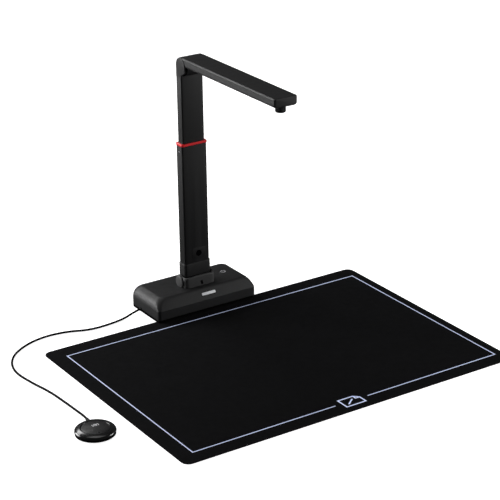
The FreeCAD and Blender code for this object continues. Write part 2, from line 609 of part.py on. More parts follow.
# ---------------------------------------------------------------- arm
def arm_shell_body(name, low, high):
    """A slab of the arm's outline between two heights, with its free end's corners rounded."""
    rear = "elbow_y - arm_rear"
    return plate(name, "arm_wide", f"({rear}) - (arm_end)", "arm_corner", low, high,
                 y=f"(arm_end + ({rear}))/2", rear="0.8")


def arm():
    """The camera arm: shell, cover, hinge barrel, lamp, camera and screws."""
    seam = "arm_low + cover_thick"
    inside = "elbow_y - arm_stop"
    shell = arm_shell_body("arm_outer", f"{seam} + cover_gap", "arm_top")
    fillet(shell, "arm_round", at_height("arm_top"))
    room = plate("arm_room", "arm_wide - 2*arm_wall", f"{inside} - arm_end - 2*arm_wall", "1.5",
                 f"{seam} - 1", "arm_top - arm_wall", y=f"(arm_end + {inside})/2")
    sweep = ear_sweep("arm_sweep")
    tongue_way = block("arm_tongue_way", "tongue_wide + 0.4", 30, "tongue_high + 2.4", 0,
                       "elbow_y - 24", "elbow_z + 1.7")
    node(cut("arm_shell_cut", shell, room, tongue_way, *sweep, *under_edges("arm_under")),
         "arm_top_shell")
    cover = arm_shell_body("arm_cover_outer", "arm_low", seam)
    lens_way = rod("cover_lens_way", "holder_rad + 0.2", 10, 0, "lens_y", "arm_low - 3")
    light_way = block("cover_light_way", "light_wide", "light_to - light_from", 10, 0,
                      "(light_from + light_to)/2", "arm_low - 3")
    holes = [rod(f"cover_screw_way_{k}", 1.7, 10, x, y, "arm_low - 3")
             for k, (x, y) in enumerate(arm_screw_places())]
    node(cut("arm_cover_cut", cover, lens_way, light_way, *holes, *ear_sweep("cover_sweep"),
             *under_edges("cover_under")), "arm_bottom_cover")
    barrel = rod("arm_barrel_rod", "barrel_rad", "2*barrel_half", "-barrel_half", "elbow_y",
                 "elbow_z", "X")
    tongue = block("arm_tongue", "tongue_wide", 36, "tongue_high", 0, "elbow_y - 20",
                   f"{seam} + cover_gap + 2*fit")
    bore = rod("arm_barrel_bore", "elbow_pin + fit", "2*barrel_half", "-barrel_half", "elbow_y",
               "elbow_z", "X")
    bridge = block("arm_bridge", "2*barrel_half", "bridge_deep", "arm_top - arm_low - 0.1", 0,
                   "elbow_y - bridge_deep/2", "arm_low")
    node(cut("arm_barrel_cut", fuse("arm_barrel_set", barrel, tongue, bridge), bore),
         "elbow_barrel")
    node(group("arm_screw_set", *[
        rod(f"arm_screw_{k}", 1.5, 6, x, y, "arm_low + 0.3")
        for k, (x, y) in enumerate(arm_screw_places())]), "arm_screws")
    lamp(seam)
    camera(seam)


def ear_sweep(name):
    """What the arm's rear end leaves free: each ear's sweep, the barrel and its bridge."""
    sides = [rod(f"{name}_{k}", "elbow_gap", 12, start, "elbow_y", "elbow_z", "X")
             for k, start in enumerate(("-barrel_half - 12.05", "barrel_half + 0.05"))]
    middle = block(f"{name}_middle", "2*barrel_half + 0.4", "bridge_deep + 0.05", 40, 0,
                   "elbow_y - (bridge_deep + 0.05)/2", "arm_low - 5")
    inner = rod(f"{name}_barrel", "barrel_rad + 0.05", "2*barrel_half + 0.4",
                "-barrel_half - 0.2", "elbow_y", "elbow_z", "X")
    return [*sides, middle, inner]


def under_edges(name):
    """What rounds the arm's two lower edges: on each side, a corner bar less a rod."""
    long = "elbow_y - arm_end + 20"
    tools = []
    for side in (-1, 1):
        bar = block(f"{name}_bar_{side + 1}", "under_rad + 1", long, "under_rad + 1",
                    f"{side}*((arm_wide - under_rad + 1)/2)", "(arm_end + elbow_y)/2",
                    "arm_low - 1")
        core = rod(f"{name}_core_{side + 1}", "under_rad", f"{long} + 2",
                   f"{side}*(arm_wide/2 - under_rad)", "arm_end - 11", "arm_low + under_rad", "Y")
        tools.append(cut(f"{name}_{side + 1}", bar, core))
    return tools


def arm_screw_places():
    return [(x, y) for x in (-15, 15) for y in (-270, -60)]


def lamp(seam):
    middle = "(light_from + light_to)/2"
    node(block("light", "light_wide - 0.3", "light_to - light_from - 0.3", "cover_thick", 0, middle,
               "arm_low"), "light_diffuser")
    board_low = f"{seam} + 2.2"
    node(block("light_pcb", 20, "light_to - light_from + 4", 1.2, 0, middle, board_low),
         "lamp_board")
    lamps = [block(f"lamp_{k}", "led_wide", "led_wide", "led_high", 0,
                   f"light_from + (0.5 + {k})*led_step", f"{board_low} - led_high")
             for k in range(LED_COUNT)]
    node(group("lamp_set", *lamps), "lamp_leds")
    node(block("flex", 12, 214, 0.4, 0, -154, "arm_top - arm_wall - 1.2"), "camera_flex")


def camera(seam):
    """Sensor, lens holder, glass and the ribbed focus ring."""
    node(plate("camera_pcb", "34", "27", "2", f"{seam} + 5.6", f"{seam} + 6.8", y="lens_y"),
         "camera_board")
    node(block("sensor_chip", 12, 12, 1.4, 0, "lens_y", f"{seam} + 4.2"), "image_sensor")
    flange = plate("holder_flange", "22", "22", "2", f"{seam} + 0.1", f"{seam} + 1.8", y="lens_y")
    stack = rod("holder_tube", "holder_rad", f"{seam} + 4 - (ring_low + 2.2)", 0, "lens_y",
                "ring_low + 2.2")
    bore = rod("holder_bore", "barrel_out + fit", 40, 0, "lens_y", "ring_low - 5")
    node(cut("holder_cut", fuse("holder_set", flange, stack), bore), "lens_holder")
    tube_out = rod("lens_tube_out", "barrel_out", 14, 0, "lens_y", "ring_low + 1.6")
    tube_in = rod("lens_tube_in", "barrel_in", 14, 0, "lens_y", "ring_low + 1.6")
    node(cut("lens_tube", tube_out, tube_in), "lens_barrel")
    glasses = [rod(f"glass_{k}", "barrel_in - 0.02", thick, 0, "lens_y", f"ring_low + {lift}")
               for k, (lift, thick) in enumerate(((2.6, 1.6), (6.2, 1.2), (11, 1.8)))]
    node(group("glasses", *glasses), "lens_glasses")
    body = doc.addObject("PartDesign::Body", "focus")
    sketch = sketch_on(body, "XY_Plane", "ring_low")
    for rad in ("ring_rad", "ring_bore"):
        index = sketch.addGeometry(Part.Circle(V(0, amount("lens_y"), 0), V(0, 0, 1), amount(rad)),
                                   False)
        sketch.addConstraint(Sketcher.Constraint("PointOnObject", index, 3, -2))
        fix(sketch, "DistanceY", -1, 1, index, 3, "lens_y")
        fix(sketch, "Radius", index, rad)
    pad(body, sketch, "ring_top - ring_low")
    lip_out = rod("focus_lip_out", "ring_bore + 0.4", 1.2, 0, "lens_y", "ring_low")
    lip_in = rod("focus_lip_in", "barrel_in + 0.4", 1.2, 0, "lens_y", "ring_low")
    grooves = []
    for k in range(GROOVE_COUNT):
        angle = 2 * math.pi * k / GROOVE_COUNT
        x = f"ring_rad*{math.cos(angle):.6f}"
        y = f"lens_y + ring_rad*{math.sin(angle):.6f}"
        grooves.append(rod(f"focus_groove_{k}", "groove_rad", "ring_top - ring_low - 3.4", x, y,
                           "ring_low + 1.8"))
    ring = fuse("focus_solid", body, cut("focus_lip", lip_out, lip_in))
    node(cut("focus_cut", ring, *grooves), "focus_ring")


# ---------------------------------------------------------------- mat
def mat():
    node(plate("mat", "mat_wide", "mat_deep", "mat_corner", "0", "mat_thick", x="mat_x",
               y="mat_back - mat_deep/2"), "scan_mat")


# ---------------------------------------------------------------- hand button
def hand_button():
    """A round push button in a low puck: pad, floor, rim, board, cap and the cord's boot."""
    at = ("puck_x", "puck_y")
    node(rod("puck_pad_rod", "puck_rad - 4", "puck_pad", *at, 0), "puck_pad")
    floor = rod("puck_floor_rod", "puck_rad - 0.6", "puck_floor - puck_pad", *at, "puck_pad")
    floor_room = rod("puck_floor_room", "puck_rad - 3", "puck_floor", *at, "puck_pad + 1.6")
    boot_way = boot("puck_floor_way", 0.05)
    node(cut("puck_floor_cut", floor, floor_room, boot_way), "puck_bottom")
    rim = rod("puck_rim_rod", "puck_rad", "puck_top - puck_floor", *at, "puck_floor")
    rounded = rounded_edges("puck_rim_round", rim, "puck_round", at_height("puck_top"))
    hole = rod("puck_rim_hole", "puck_cap + puck_gap", 20, *at, "puck_floor - 2")
    node(cut("puck_rim_cut", rounded, hole, boot("puck_rim_way", 0.05)), "puck_rim")
    node(rod("puck_board_rod", "puck_rad - 6", 1.2, *at, "puck_pad + 1.7"), "puck_board")
    switch_low = "puck_pad + 2.9"
    can = block("puck_switch_can", 6, 6, 2.4, *at, switch_low)
    pin = rod("puck_switch_pin", 1.7, 0.9, *at, f"{switch_low} + 2.4")
    node(fuse("puck_switch_set", can, pin), "puck_switch")
    coil_low = "puck_pad + 3"
    coil_out = rod("puck_coil_out", 9, 5.4, *at, coil_low)
    coil_in = rod("puck_coil_in", 7.8, 5.4, *at, coil_low)
    node(cut("puck_coil", coil_out, coil_in), "puck_spring")
    skirt = rod("cap_skirt", "puck_cap", "puck_top - puck_floor - 0.4 - 0.6", *at,
                "puck_floor + 0.4 + 0.6")
    dome_rad = "(puck_cap*puck_cap + dome_rise*dome_rise)/(2*dome_rise)".replace(
        "dome_rise", "(puck_crown - puck_top)")
    ball = doc.addObject("Part::Sphere", "cap_ball")
    ball.setExpression("Radius", expr(dome_rad))
    place(ball, *at, f"puck_crown - ({dome_rad})")
    crown = common("cap_crown", ball, rod("cap_slice", "puck_cap", 4, *at, "puck_top - 0.001"))
    room = rod("cap_room", "puck_cap - 1.8", "puck_top - puck_floor - 1.6", *at,
               "puck_floor + 0.2")
    post = rod("cap_post", 2.2, "3", *at, f"{switch_low} + 3.3 + puck_travel + 0.1")
    hollow_cap = cut("cap_shell", fuse("cap_solid", skirt, crown), room)
    node(fuse("cap_set", hollow_cap, post), "button_cap")
    node(cut("boot_cut", boot("boot_cone", 0), boot_bore()), "cord_boot")


def boot_frame():
    """Where the cord enters the puck: the outward direction, and the boot's inner end."""
    away = V(CORD[-1][0] - amount("puck_x"), CORD[-1][1] - amount("puck_y"), 0).normalize()
    inner = V(amount("puck_x"), amount("puck_y"), CORD[-1][2]) + away * (amount("puck_rad") - 3.5)
    return away, inner


def boot(name, grow):
    away, inner = boot_frame()
    item = doc.addObject("Part::Cone", name)
    item.Radius1 = amount("boot_rad") + grow
    item.Radius2 = amount("boot_tip") + grow
    item.Height = (V(*CORD[-1]) - inner).Length - amount("boot_gap")
    item.Placement = FreeCAD.Placement(inner, FreeCAD.Rotation(V(0, 0, 1), away))
    return item


def boot_bore():
    away, inner = boot_frame()
    item = doc.addObject("Part::Cylinder", "boot_bore")
    item.Radius = amount("cord_rad") - 0.4
    item.Height = 60
    item.Placement = FreeCAD.Placement(inner - away * 5, FreeCAD.Rotation(V(0, 0, 1), away))
    return item


# ---------------------------------------------------------------- cord
# The button's cord: out of the base's left side, over the table and into the back of the puck.
CORD = [
    (-103, 13.5, 6.4), (-117, 10, 5.6), (-138, 4.4, 1.9), (-173, -2.5, 1.9), (-213, -3, 1.9),
    (-248, 14, 1.9), (-293, 18, 1.9), (-337, 3.5, 1.9), (-374, -26, 1.9), (-393, -72, 1.9),
    (-388, -124, 1.9), (-377.5, -174, 1.9), (-374.5, -222, 1.9), (-373, -262, 2.1),
    (-374.6, -285, 4.9), (-376.3, -296.5, 5.7),
]


def cord_path(points):
    """Straight runs joined by tangent arcs, each as large as its two runs allow."""
    points = [V(*p) for p in points]
    edges, start, radii = [], points[0], []
    for before, corner, after in zip(points, points[1:], points[2:]):
        into, out = (corner - before), (after - corner)
        turn = into.getAngle(out)
        reach = 0.45 * min(into.Length, out.Length)
        radii.append(reach / math.tan(turn / 2))
        first = corner - into.normalize() * reach
        last = corner + out.normalize() * reach
        chord = (first + last) * 0.5
        inward = (chord - corner).normalize()
        gap = radii[-1] / math.cos(turn / 2) - radii[-1]
        edges.append(Part.LineSegment(start, first).toShape())
        edges.append(Part.Arc(first, corner + inward * gap, last).toShape())
        start = last
    edges.append(Part.LineSegment(start, points[-1]).toShape())
    return Part.Wire(edges), radii


def cord():
    wire, radii = cord_path(CORD)
    rad = amount("cord_rad")
    start = V(*CORD[1]) - V(*CORD[0])
    disc = Part.Wire(Part.Circle(V(*CORD[0]), start, rad).toShape())
    solid = wire.makePipeShell([disc], True, False)
    item = doc.addObject("Part::Feature", "cord_tube")
    item.Shape = solid
    node(item, "button_cord")
    ideal = math.pi * rad * rad * wire.Length
    print(f"cord length {wire.Length:.1f} mm, volume {item.Shape.Volume:.1f} of {ideal:.1f} mm3")
    print("cord radii", " ".join(f"{value:.0f}" for value in radii))
    sleeve = rod("grommet_sleeve", "grommet_rad", 8.4, "exit_x + 0.6", "exit_y", "exit_z", "X")
    hole = rod("grommet_hole", "cord_rad - 0.4", 12, "exit_x - 1", "exit_y", "exit_z", "X")
    node(cut("grommet_cut", sleeve, hole), "cord_grommet")


def write():
    """Checks every object, then writes each node's solids."""
    doc.recompute()
    for item in doc.Objects:
        assert "Invalid" not in item.State and "Error" not in item.State, (item.Label, item.State)
    os.makedirs("parts", exist_ok=True)
    for item in NODES:
        shape = item.Shape
        assert not shape.isNull() and shape.isValid() and shape.Solids, item.Label
        shape.exportStep(f"parts/{item.Label}.step")
        print(item.Label, len(shape.Solids), round(shape.Volume, 1))
    print(len(NODES), "nodes")


base_shell()
base_bottom()
base_inside()
foot_hinge()
column()
elbow()
arm()
mat()
hand_button()
cord()
write()
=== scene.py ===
import json
from math import cos, hypot, pi, radians, sin, sqrt

import bmesh
import bpy
from mathutils import Matrix, Vector


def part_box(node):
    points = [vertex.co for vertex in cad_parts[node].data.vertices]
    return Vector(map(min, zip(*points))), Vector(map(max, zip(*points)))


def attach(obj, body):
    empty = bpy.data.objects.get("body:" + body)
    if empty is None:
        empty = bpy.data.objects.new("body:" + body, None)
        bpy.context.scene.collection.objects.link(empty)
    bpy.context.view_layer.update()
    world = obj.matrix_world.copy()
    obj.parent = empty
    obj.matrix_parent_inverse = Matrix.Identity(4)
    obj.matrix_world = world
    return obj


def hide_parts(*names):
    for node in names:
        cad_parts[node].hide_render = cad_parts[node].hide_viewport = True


# Overhead book scanner.  Shapes are given in millimetres and made in metres, in the part's own
# frame: +Z up, the front faces -Y, the origin is on the table under the middle of the base.

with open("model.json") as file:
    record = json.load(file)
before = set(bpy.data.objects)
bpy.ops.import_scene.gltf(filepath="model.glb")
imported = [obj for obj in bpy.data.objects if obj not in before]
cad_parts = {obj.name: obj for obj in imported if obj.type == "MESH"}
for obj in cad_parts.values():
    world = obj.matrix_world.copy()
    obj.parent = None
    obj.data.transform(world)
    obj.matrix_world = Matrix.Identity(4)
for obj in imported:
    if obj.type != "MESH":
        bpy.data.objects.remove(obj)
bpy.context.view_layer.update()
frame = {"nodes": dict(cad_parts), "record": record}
MM = 0.001


def cad(node):
    """A node's lowest and highest corners in millimetres."""
    low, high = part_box(node)
    return low / MM, high / MM


# ---------------------------------------------------------------- materials
def material(name, colour, rough, metal=0.0, coat=0.0, grain=0.25, bump=0.02, tone=0.12,
             streak=None, cells=False, glow=0.0, spread=0.06, shine=0.5):
    """Colour and roughness that drift over the surface, with a fine grain in the bump.

    grain is the grain's size and bump its depth, both in millimetres; tone is how much the colour
    drifts and spread how much the roughness does; streak stretches the grain along an axis, as on
    an extrusion; cells gives a leather grain; shine is the specular level; glow is an emission.
    """
    cloud_size, wear_size, speck_share, bump_strength = 38, 11, 0.35, 0.7
    look = bpy.data.materials.new(name)
    look.use_nodes = True
    nodes, links = look.node_tree.nodes, look.node_tree.links
    shader = nodes["Principled BSDF"]
    shader.inputs["Metallic"].default_value = metal
    shader.inputs["Specular IOR Level"].default_value = shine
    shader.inputs["Coat Weight"].default_value = coat
    shader.inputs["Coat Roughness"].default_value = 0.08
    place = nodes.new("ShaderNodeTexCoord")
    stretch = nodes.new("ShaderNodeMapping")
    stretch.inputs["Scale"].default_value = streak or (1, 1, 1)
    links.new(place.outputs["Object"], stretch.inputs["Vector"])

    def noise(size, detail, kind="ShaderNodeTexNoise", source=stretch):
        item = nodes.new(kind)
        item.inputs["Scale"].default_value = 1 / (size * MM)
        if "Detail" in item.inputs:
            item.inputs["Detail"].default_value = detail
        links.new(source.outputs[0], item.inputs["Vector"])
        return item

    clouds = noise(cloud_size, 3)
    ramp = nodes.new("ShaderNodeValToRGB")
    dark, light = ramp.color_ramp.elements
    dark.position, light.position = 0.3, 0.72
    dark.color = (*[c * (1 - tone) for c in colour], 1)
    light.color = (*[min(1, c * (1 + tone)) for c in colour], 1)
    speck = noise(grain * 2.5, 2)
    both = nodes.new("ShaderNodeMix")
    both.data_type = "FLOAT"
    both.inputs[0].default_value = speck_share
    links.new(clouds.outputs["Fac"], both.inputs[2])
    links.new(speck.outputs["Fac"], both.inputs[3])
    links.new(both.outputs[0], ramp.inputs["Fac"])
    links.new(ramp.outputs["Color"], shader.inputs["Base Color"])

    wear = noise(wear_size, 5)
    span = nodes.new("ShaderNodeMapRange")
    for key, value in (("From Min", 0.25), ("From Max", 0.75),
                       ("To Min", max(rough - spread, 0.03)), ("To Max", min(rough + spread, 1))):
        span.inputs[key].default_value = value
    links.new(wear.outputs["Fac"], span.inputs["Value"])
    links.new(span.outputs["Result"], shader.inputs["Roughness"])

    fine = noise(grain, 2, "ShaderNodeTexVoronoi" if cells else "ShaderNodeTexNoise")
    relief = nodes.new("ShaderNodeBump")
    relief.inputs["Distance"].default_value = bump * MM
    relief.inputs["Strength"].default_value = bump_strength
    links.new(fine.outputs[0], relief.inputs["Height"])
    links.new(relief.outputs["Normal"], shader.inputs["Normal"])
    if glow:
        shader.inputs["Emission Color"].default_value = (*colour, 1)
        shader.inputs["Emission Strength"].default_value = glow
    return look


LOOKS = {
    "case": material("moulded_case", (0.0115, 0.0115, 0.012), 0.5, grain=0.35, bump=0.03,
                     shine=0.32),
    # lighter than the case so that the saddle's front reads as brightly lit: painted light
    "saddle": material("saddle_plastic_painted_light", (0.042, 0.042, 0.0425), 0.58, grain=0.35, bump=0.03,
                       shine=0.28),
    # near black: besides the inner parts, it paints the shade in the saddle's slot and in the gaps
    # beside the arm's barrel
    "hidden": material("inner_and_painted_gap_shade", (0.0008, 0.0008, 0.0009), 0.8, grain=0.3, bump=0.03,
                       shine=0.05),
    "column": material("anodised_column", (0.0115, 0.0115, 0.012), 0.5, metal=0.15, grain=0.3,
                       bump=0.012, streak=(1, 1, 0.06), tone=0.2, shine=0.25),
    "rubber": material("soft_rubber", (0.012, 0.012, 0.0125), 0.75, grain=0.4, bump=0.05,
                       shine=0.25),
    "steel": material("turned_steel", (0.52, 0.52, 0.54), 0.3, metal=1, grain=0.3, bump=0.01),
    "nylon": material("nylon_washer", (0.72, 0.71, 0.66), 0.5, grain=0.4, bump=0.02),
    "iron": material("ballast_iron", (0.1, 0.095, 0.09), 0.7, metal=0.6, grain=1.2, bump=0.15),
    "board": material("board_mask", (0.012, 0.09, 0.035), 0.35, grain=0.8, bump=0.02, coat=0.3),
    "chip": material("chip_epoxy", (0.02, 0.02, 0.021), 0.55, grain=0.2, bump=0.02),
    "badge": material("badge_foil", (0.86, 0.87, 0.9), 0.4, grain=0.25, bump=0.01,
                      streak=(0.08, 1, 1), tone=0.05),
    "red": material("red_ring", (0.95, 0.01, 0.018), 0.35, grain=0.4, bump=0.01, coat=0.35),
    "glass": material("coated_glass", (0.0015, 0.0015, 0.002), 0.12, grain=0.5, bump=0.0,
                      spread=0.02, shine=0.3),
    "lead": material("cord_jacket", (0.0014, 0.0014, 0.0015), 0.7, grain=0.3, bump=0.03,
                     shine=0.06),
    "lamp": material("frosted_lamp", (0.84, 0.84, 0.8), 0.45, grain=0.25, bump=0.03, tone=0.04),
    "flex": material("amber_flex", (0.4, 0.17, 0.03), 0.4, grain=0.5, bump=0.01),
    "lens": material("lens_anodised", (0.01, 0.01, 0.011), 0.4, metal=0.3, grain=0.2, bump=0.01,
                     shine=0.4),
    "mat": material("mat_top", (0.0038, 0.0039, 0.0044), 0.9, grain=1.1, bump=0.09, cells=True,
                    tone=0.18, shine=0.05),
    "gloss": material("gloss_puck", (0.005, 0.005, 0.0055), 0.2, grain=0.5, bump=0.004, coat=0.3,
                      spread=0.05),
    "cap": material("textured_cap", (0.014, 0.014, 0.0145), 0.36, grain=1.2, bump=0.16, cells=True,
                    tone=0.5, spread=0.12, shine=0.4),
    # the printed line and symbol glow though they are no lamp: painted light that brightens them
    "print": material("blue_print_painted_glow", (0.62, 0.7, 0.98), 0.55, grain=0.5, bump=0.02, tone=0.06,
                      glow=0.16),
    "mark": material("mark_print_painted_glow", (0.64, 0.72, 0.98), 0.55, grain=0.5, bump=0.02, tone=0.06,
                     glow=0.2),
    "icon": material("icon_print", (0.42, 0.42, 0.44), 0.5, grain=0.3, bump=0.01, tone=0.1),
    "white_icon": material("white_icon_print", (0.85, 0.85, 0.87), 0.4, grain=0.3, bump=0.01,
                           tone=0.05),
}
SLOT_LOOKS = {
    "case_plastic": "case", "hidden_plastic": "hidden", "column_metal": "column",
    "rubber": "rubber", "steel": "steel", "washer_plastic": "nylon", "ballast_iron": "iron",
    "board_green": "board", "chip_black": "chip", "badge_metal": "badge", "ring_red": "red",
    "dark_glass": "glass", "lead_black": "lead", "lamp_white": "lamp", "flex_amber": "flex",
    "lens_black": "lens", "mat_rubber": "mat", "puck_gloss": "gloss",
}


# ---------------------------------------------------------------- mesh helpers
HOLD = 0.5      # how far past a rounded corner a support point stands


def arc(cx, cy, rad, start, end, steps):
    """Points along an arc, in degrees, both ends included."""
    angles = [radians(start + (end - start) * k / steps) for k in range(steps + 1)]
    return [(cx + rad * cos(a), cy + rad * sin(a)) for a in angles]


def outline(x0, x1, y0, y1, front, rear, steps=6, crown=0.0):
    """A rounded rectangle, anticlockwise; crown makes its front side bulge.

    Support points just past the corners keep the shading of the two sides and the rear flat.
    """
    f, r = max(front, 0.05), max(rear, 0.05)
    hold = max(0.0, min(HOLD, (y1 - y0 - f - r) / 3, (x1 - x0 - 2 * r) / 3))
    across = 8
    bulge = []
    for k in range(1, across):
        u = 2 * k / across - 1
        bulge.append(((x0 + f) + (x1 - x0 - 2 * f) * k / across, y0 - crown * (1 - u * u)))
    return (bulge
            + arc(x1 - f, y0 + f, f, -90, 0, steps) + [(x1, y0 + f + hold), (x1, y1 - r - hold)]
            + arc(x1 - r, y1 - r, r, 0, 90, steps) + [(x1 - r - hold, y1), (x0 + r + hold, y1)]
            + arc(x0 + r, y1 - r, r, 90, 180, steps) + [(x0, y1 - r - hold), (x0, y0 + f + hold)]
            + arc(x0 + f, y0 + f, f, 180, 270, steps))


def rounded(low, high, low_rad, high_rad, steps=4):
    """(inset, height) pairs up a wall whose lower and upper edges are rounded."""
    turns = [radians(90 * k / steps) for k in range(steps + 1)]
    up = [(low_rad * (1 - sin(a)), low + low_rad * (1 - cos(a))) for a in turns]
    return up + [(high_rad * (1 - cos(a)), high - high_rad * (1 - sin(a))) for a in turns]


def bar_rings(x0, x1, y0, y1, corner, profile, rear=None, crown=0.0):
    """Rounded rectangles stacked along a profile of (inset, height) pairs."""
    rear = corner if rear is None else rear
    return [[(x, y, z) for x, y in outline(x0 + i, x1 - i, y0 + i, y1 - i, corner - i, rear - i,
                                           crown=crown)] for i, z in profile]


def loft(rings, closed=False):
    """Verts and faces through rings of equal length: capped, or closed into a loop."""
    count = len(rings[0])
    verts = [p for ring in rings for p in ring]
    faces = []
    for k in range(len(rings) - (0 if closed else 1)):
        a, b = k * count, ((k + 1) % len(rings)) * count
        for j in range(count):
            nxt = (j + 1) % count
            faces.append((a + j, a + nxt, b + nxt, b + j))
    if not closed:
        faces.append(tuple(range(count - 1, -1, -1)))
        faces.append(tuple(range(len(verts) - count, len(verts))))
    return verts, faces


def lathe(profile, centre, axis="Z", steps=64, ribs=None):
    """Turns (radius, height) pairs about an axis through centre.

    ribs is (count, depth, low, high, inner): the heights and the least radius that they are cut at.
    """
    rings = []
    for rad, high in profile:
        ring = []
        for k in range(steps):
            a = 2 * pi * k / steps
            cut = 0
            if ribs:
                count, depth, rib_low, rib_high, inner = ribs
                if rib_low <= high <= rib_high and rad > inner:
                    cut = depth * (0.5 + 0.5 * cos(count * a))
            u, v = (rad - cut) * cos(a), (rad - cut) * sin(a)
            point = {"Z": (u, v, high), "X": (high, u, v)}[axis]
            ring.append(tuple(c + p for c, p in zip(centre, point)))
        rings.append(ring)
    return rings


def mesh_object(name, verts, faces):
    """A mesh piece from points in millimetres, with its normals outward."""
    mesh = bpy.data.meshes.new(name)
    mesh.from_pydata([Vector(v) * MM for v in verts], [], faces)
    work = bmesh.new()
    work.from_mesh(mesh)
    bmesh.ops.remove_doubles(work, verts=work.verts, dist=1e-7)
    bmesh.ops.recalc_face_normals(work, faces=work.faces)
    work.to_mesh(mesh)
    work.free()
    item = bpy.data.objects.new(name, mesh)
    bpy.context.scene.collection.objects.link(item)
    return item


def carve(item, *tools):
    """Cuts tools out of a piece, and deletes them."""
    for tool in tools:
        change = item.modifiers.new("carve", "BOOLEAN")
        change.operation = "DIFFERENCE"
        change.solver = "EXACT"
        change.object = tool
    bpy.context.view_layer.update()
    graph = bpy.context.evaluated_depsgraph_get()
    done = bpy.data.meshes.new_from_object(item.evaluated_get(graph))
    item.modifiers.clear()
    item.data = done
    for tool in tools:
        bpy.data.objects.remove(tool)
    return item


def piece(item, look, body, stands_for=(), sharp=34):
    """Shades a piece, gives it its material and puts it on its body."""
    mesh = item.data
    if item.type == "MESH":
        mesh.shade_smooth()
        mesh.set_sharp_from_angle(angle=radians(sharp))
    mesh.materials.clear()
    mesh.materials.append(LOOKS[look])
    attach(item, body)
    if stands_for:
        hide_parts(*stands_for)
    return item


def solid_bar(name, x0, x1, y0, y1, corner, profile, rear=None, crown=0.0):
    """An upright bar whose wall follows a profile from rounded()."""
    return mesh_object(name, *loft(bar_rings(x0, x1, y0, y1, corner, profile, rear, crown)))


def tool_rod(rad, centre, length, axis="Z", steps=64):
    """A cylindrical cutter that starts at centre."""
    ends = [(rad, 0), (rad, length)]
    return mesh_object("cutter", *loft(lathe(ends, centre, axis, steps)))


def tool_box(x0, x1, y0, y1, z0, z1):
    """A box-shaped cutter."""
    corners = [(x0, y0), (x1, y0), (x1, y1), (x0, y1)]
    return mesh_object("cutter", *loft([[(x, y, z) for x, y in corners] for z in (z0, z1)]))


def hollow_bar(name, size, inner, profile, inner_profile, crown=0.0):
    """A tube: size and inner are (x0, x1, y0, y1, corner)."""
    rings = bar_rings(*size, profile, crown=crown) + bar_rings(*inner, inner_profile)[::-1]
    return mesh_object(name, *loft(rings, closed=True))


def side_loft(name, points, sections):
    """An anticlockwise profile in YZ swept along X: sections are (x, inset) pairs.

    The profile's lowest points keep their height, so that it stands flush on what is under it.
    """
    count = len(points)
    foot = min(z for _, z in points) + 0.1
    normals = []
    for k in range(count):
        (ay, az), (by, bz) = points[k - 1], points[(k + 1) % count]
        length = hypot(by - ay, bz - az) or 1
        normal = (-(bz - az) / length, (by - ay) / length)
        if points[k][1] < foot:
            normal = (-1 if by < ay or points[k][0] > 0.5 * (ay + by) else 1, 0)
        normals.append(normal)
    rings = [[(x, y + n[0] * inset, z + n[1] * inset) for (y, z), n in zip(points, normals)]
             for x, inset in sections]
    return mesh_object(name, *loft(rings))


def strip(points, wide, closed=False):
    """A flat stroke of even width through 2D points: returns its left and right edges."""
    count = len(points)
    left, right = [], []
    for k, (x, y) in enumerate(points):
        before = points[k - 1] if k or closed else (2 * x - points[1][0], 2 * y - points[1][1])
        after = (points[(k + 1) % count] if k < count - 1 or closed
                 else (2 * x - before[0], 2 * y - before[1]))
        d1 = Vector((x - before[0], y - before[1])).normalized()
        d2 = Vector((after[0] - x, after[1] - y)).normalized()
        side = Vector((-(d1.y + d2.y), d1.x + d2.x)).normalized()
        reach = wide / 2 / max(0.35, side.dot(Vector((-d1.y, d1.x))))
        left.append((x + side.x * reach, y + side.y * reach))
        right.append((x - side.x * reach, y - side.y * reach))
    return left, right


def stroke_mesh(strokes, wide, place, thick):
    """Raised strokes: place maps (u, v, height) to the row frame."""
    verts, faces = [], []
    for points, closed in strokes:
        left, right = strip(points, wide, closed)
        rings = [[place(*a, 0), place(*b, 0), place(*b, thick), place(*a, thick)]
                 for a, b in zip(left, right)]
        more, quads = loft(rings, closed=closed)
        faces += [tuple(i + len(verts) for i in face) for face in quads]
        verts += more
    return verts, faces


# ---------------------------------------------------------------- base
BASE_LOW, BASE_HIGH = cad("base_top_shell")
SEAM, BASE_TOP = BASE_LOW.z, BASE_HIGH.z
# the front slopes back from the crease to SLOPE_TOP, by SLOPE_IN, and is EDGE_IN back at the top
CREASE, SLOPE_TOP, SLOPE_IN, EDGE_IN = 23.0, 38.0, 11.0, 16.0
# the sides and the back round in by ROUND_IN between ROUND_FROM and the top
ROUND_FROM, ROUND_IN = 20.0, 17.0


def base_ring(z, inset=0.0):
    """The casing's outline at a height: how far the sides, the back and the front have come in."""
    side = 0.0
    if z > ROUND_FROM:
        t = min(1.0, (z - ROUND_FROM) / (BASE_TOP - ROUND_FROM))
        side = ROUND_IN * (1 - sqrt(1 - t * t))
    front = 0.0
    if z > SLOPE_TOP:
        u = 1 - sqrt(max(0.0, 1 - (z - SLOPE_TOP) / (BASE_TOP - SLOPE_TOP)))
        lead = SLOPE_IN + (BASE_TOP - SLOPE_TOP) * SLOPE_IN / (SLOPE_TOP - CREASE)
        front = (1 - u) ** 2 * SLOPE_IN + 2 * u * (1 - u) * lead + u * u * EDGE_IN
    elif z > CREASE:
        front = SLOPE_IN * (z - CREASE) / (SLOPE_TOP - CREASE)
    front_rad, rear_rad = 6, 15
    corner, rear = front_rad + 0.35 * front - inset, rear_rad - 0.45 * side - inset
    shape = outline(BASE_LOW.x + side + inset, BASE_HIGH.x - side - inset,
                    BASE_LOW.y + front + inset, BASE_HIGH.y - side - inset, corner, rear, steps=10)
    return [(x, y, z) for x, y in shape]


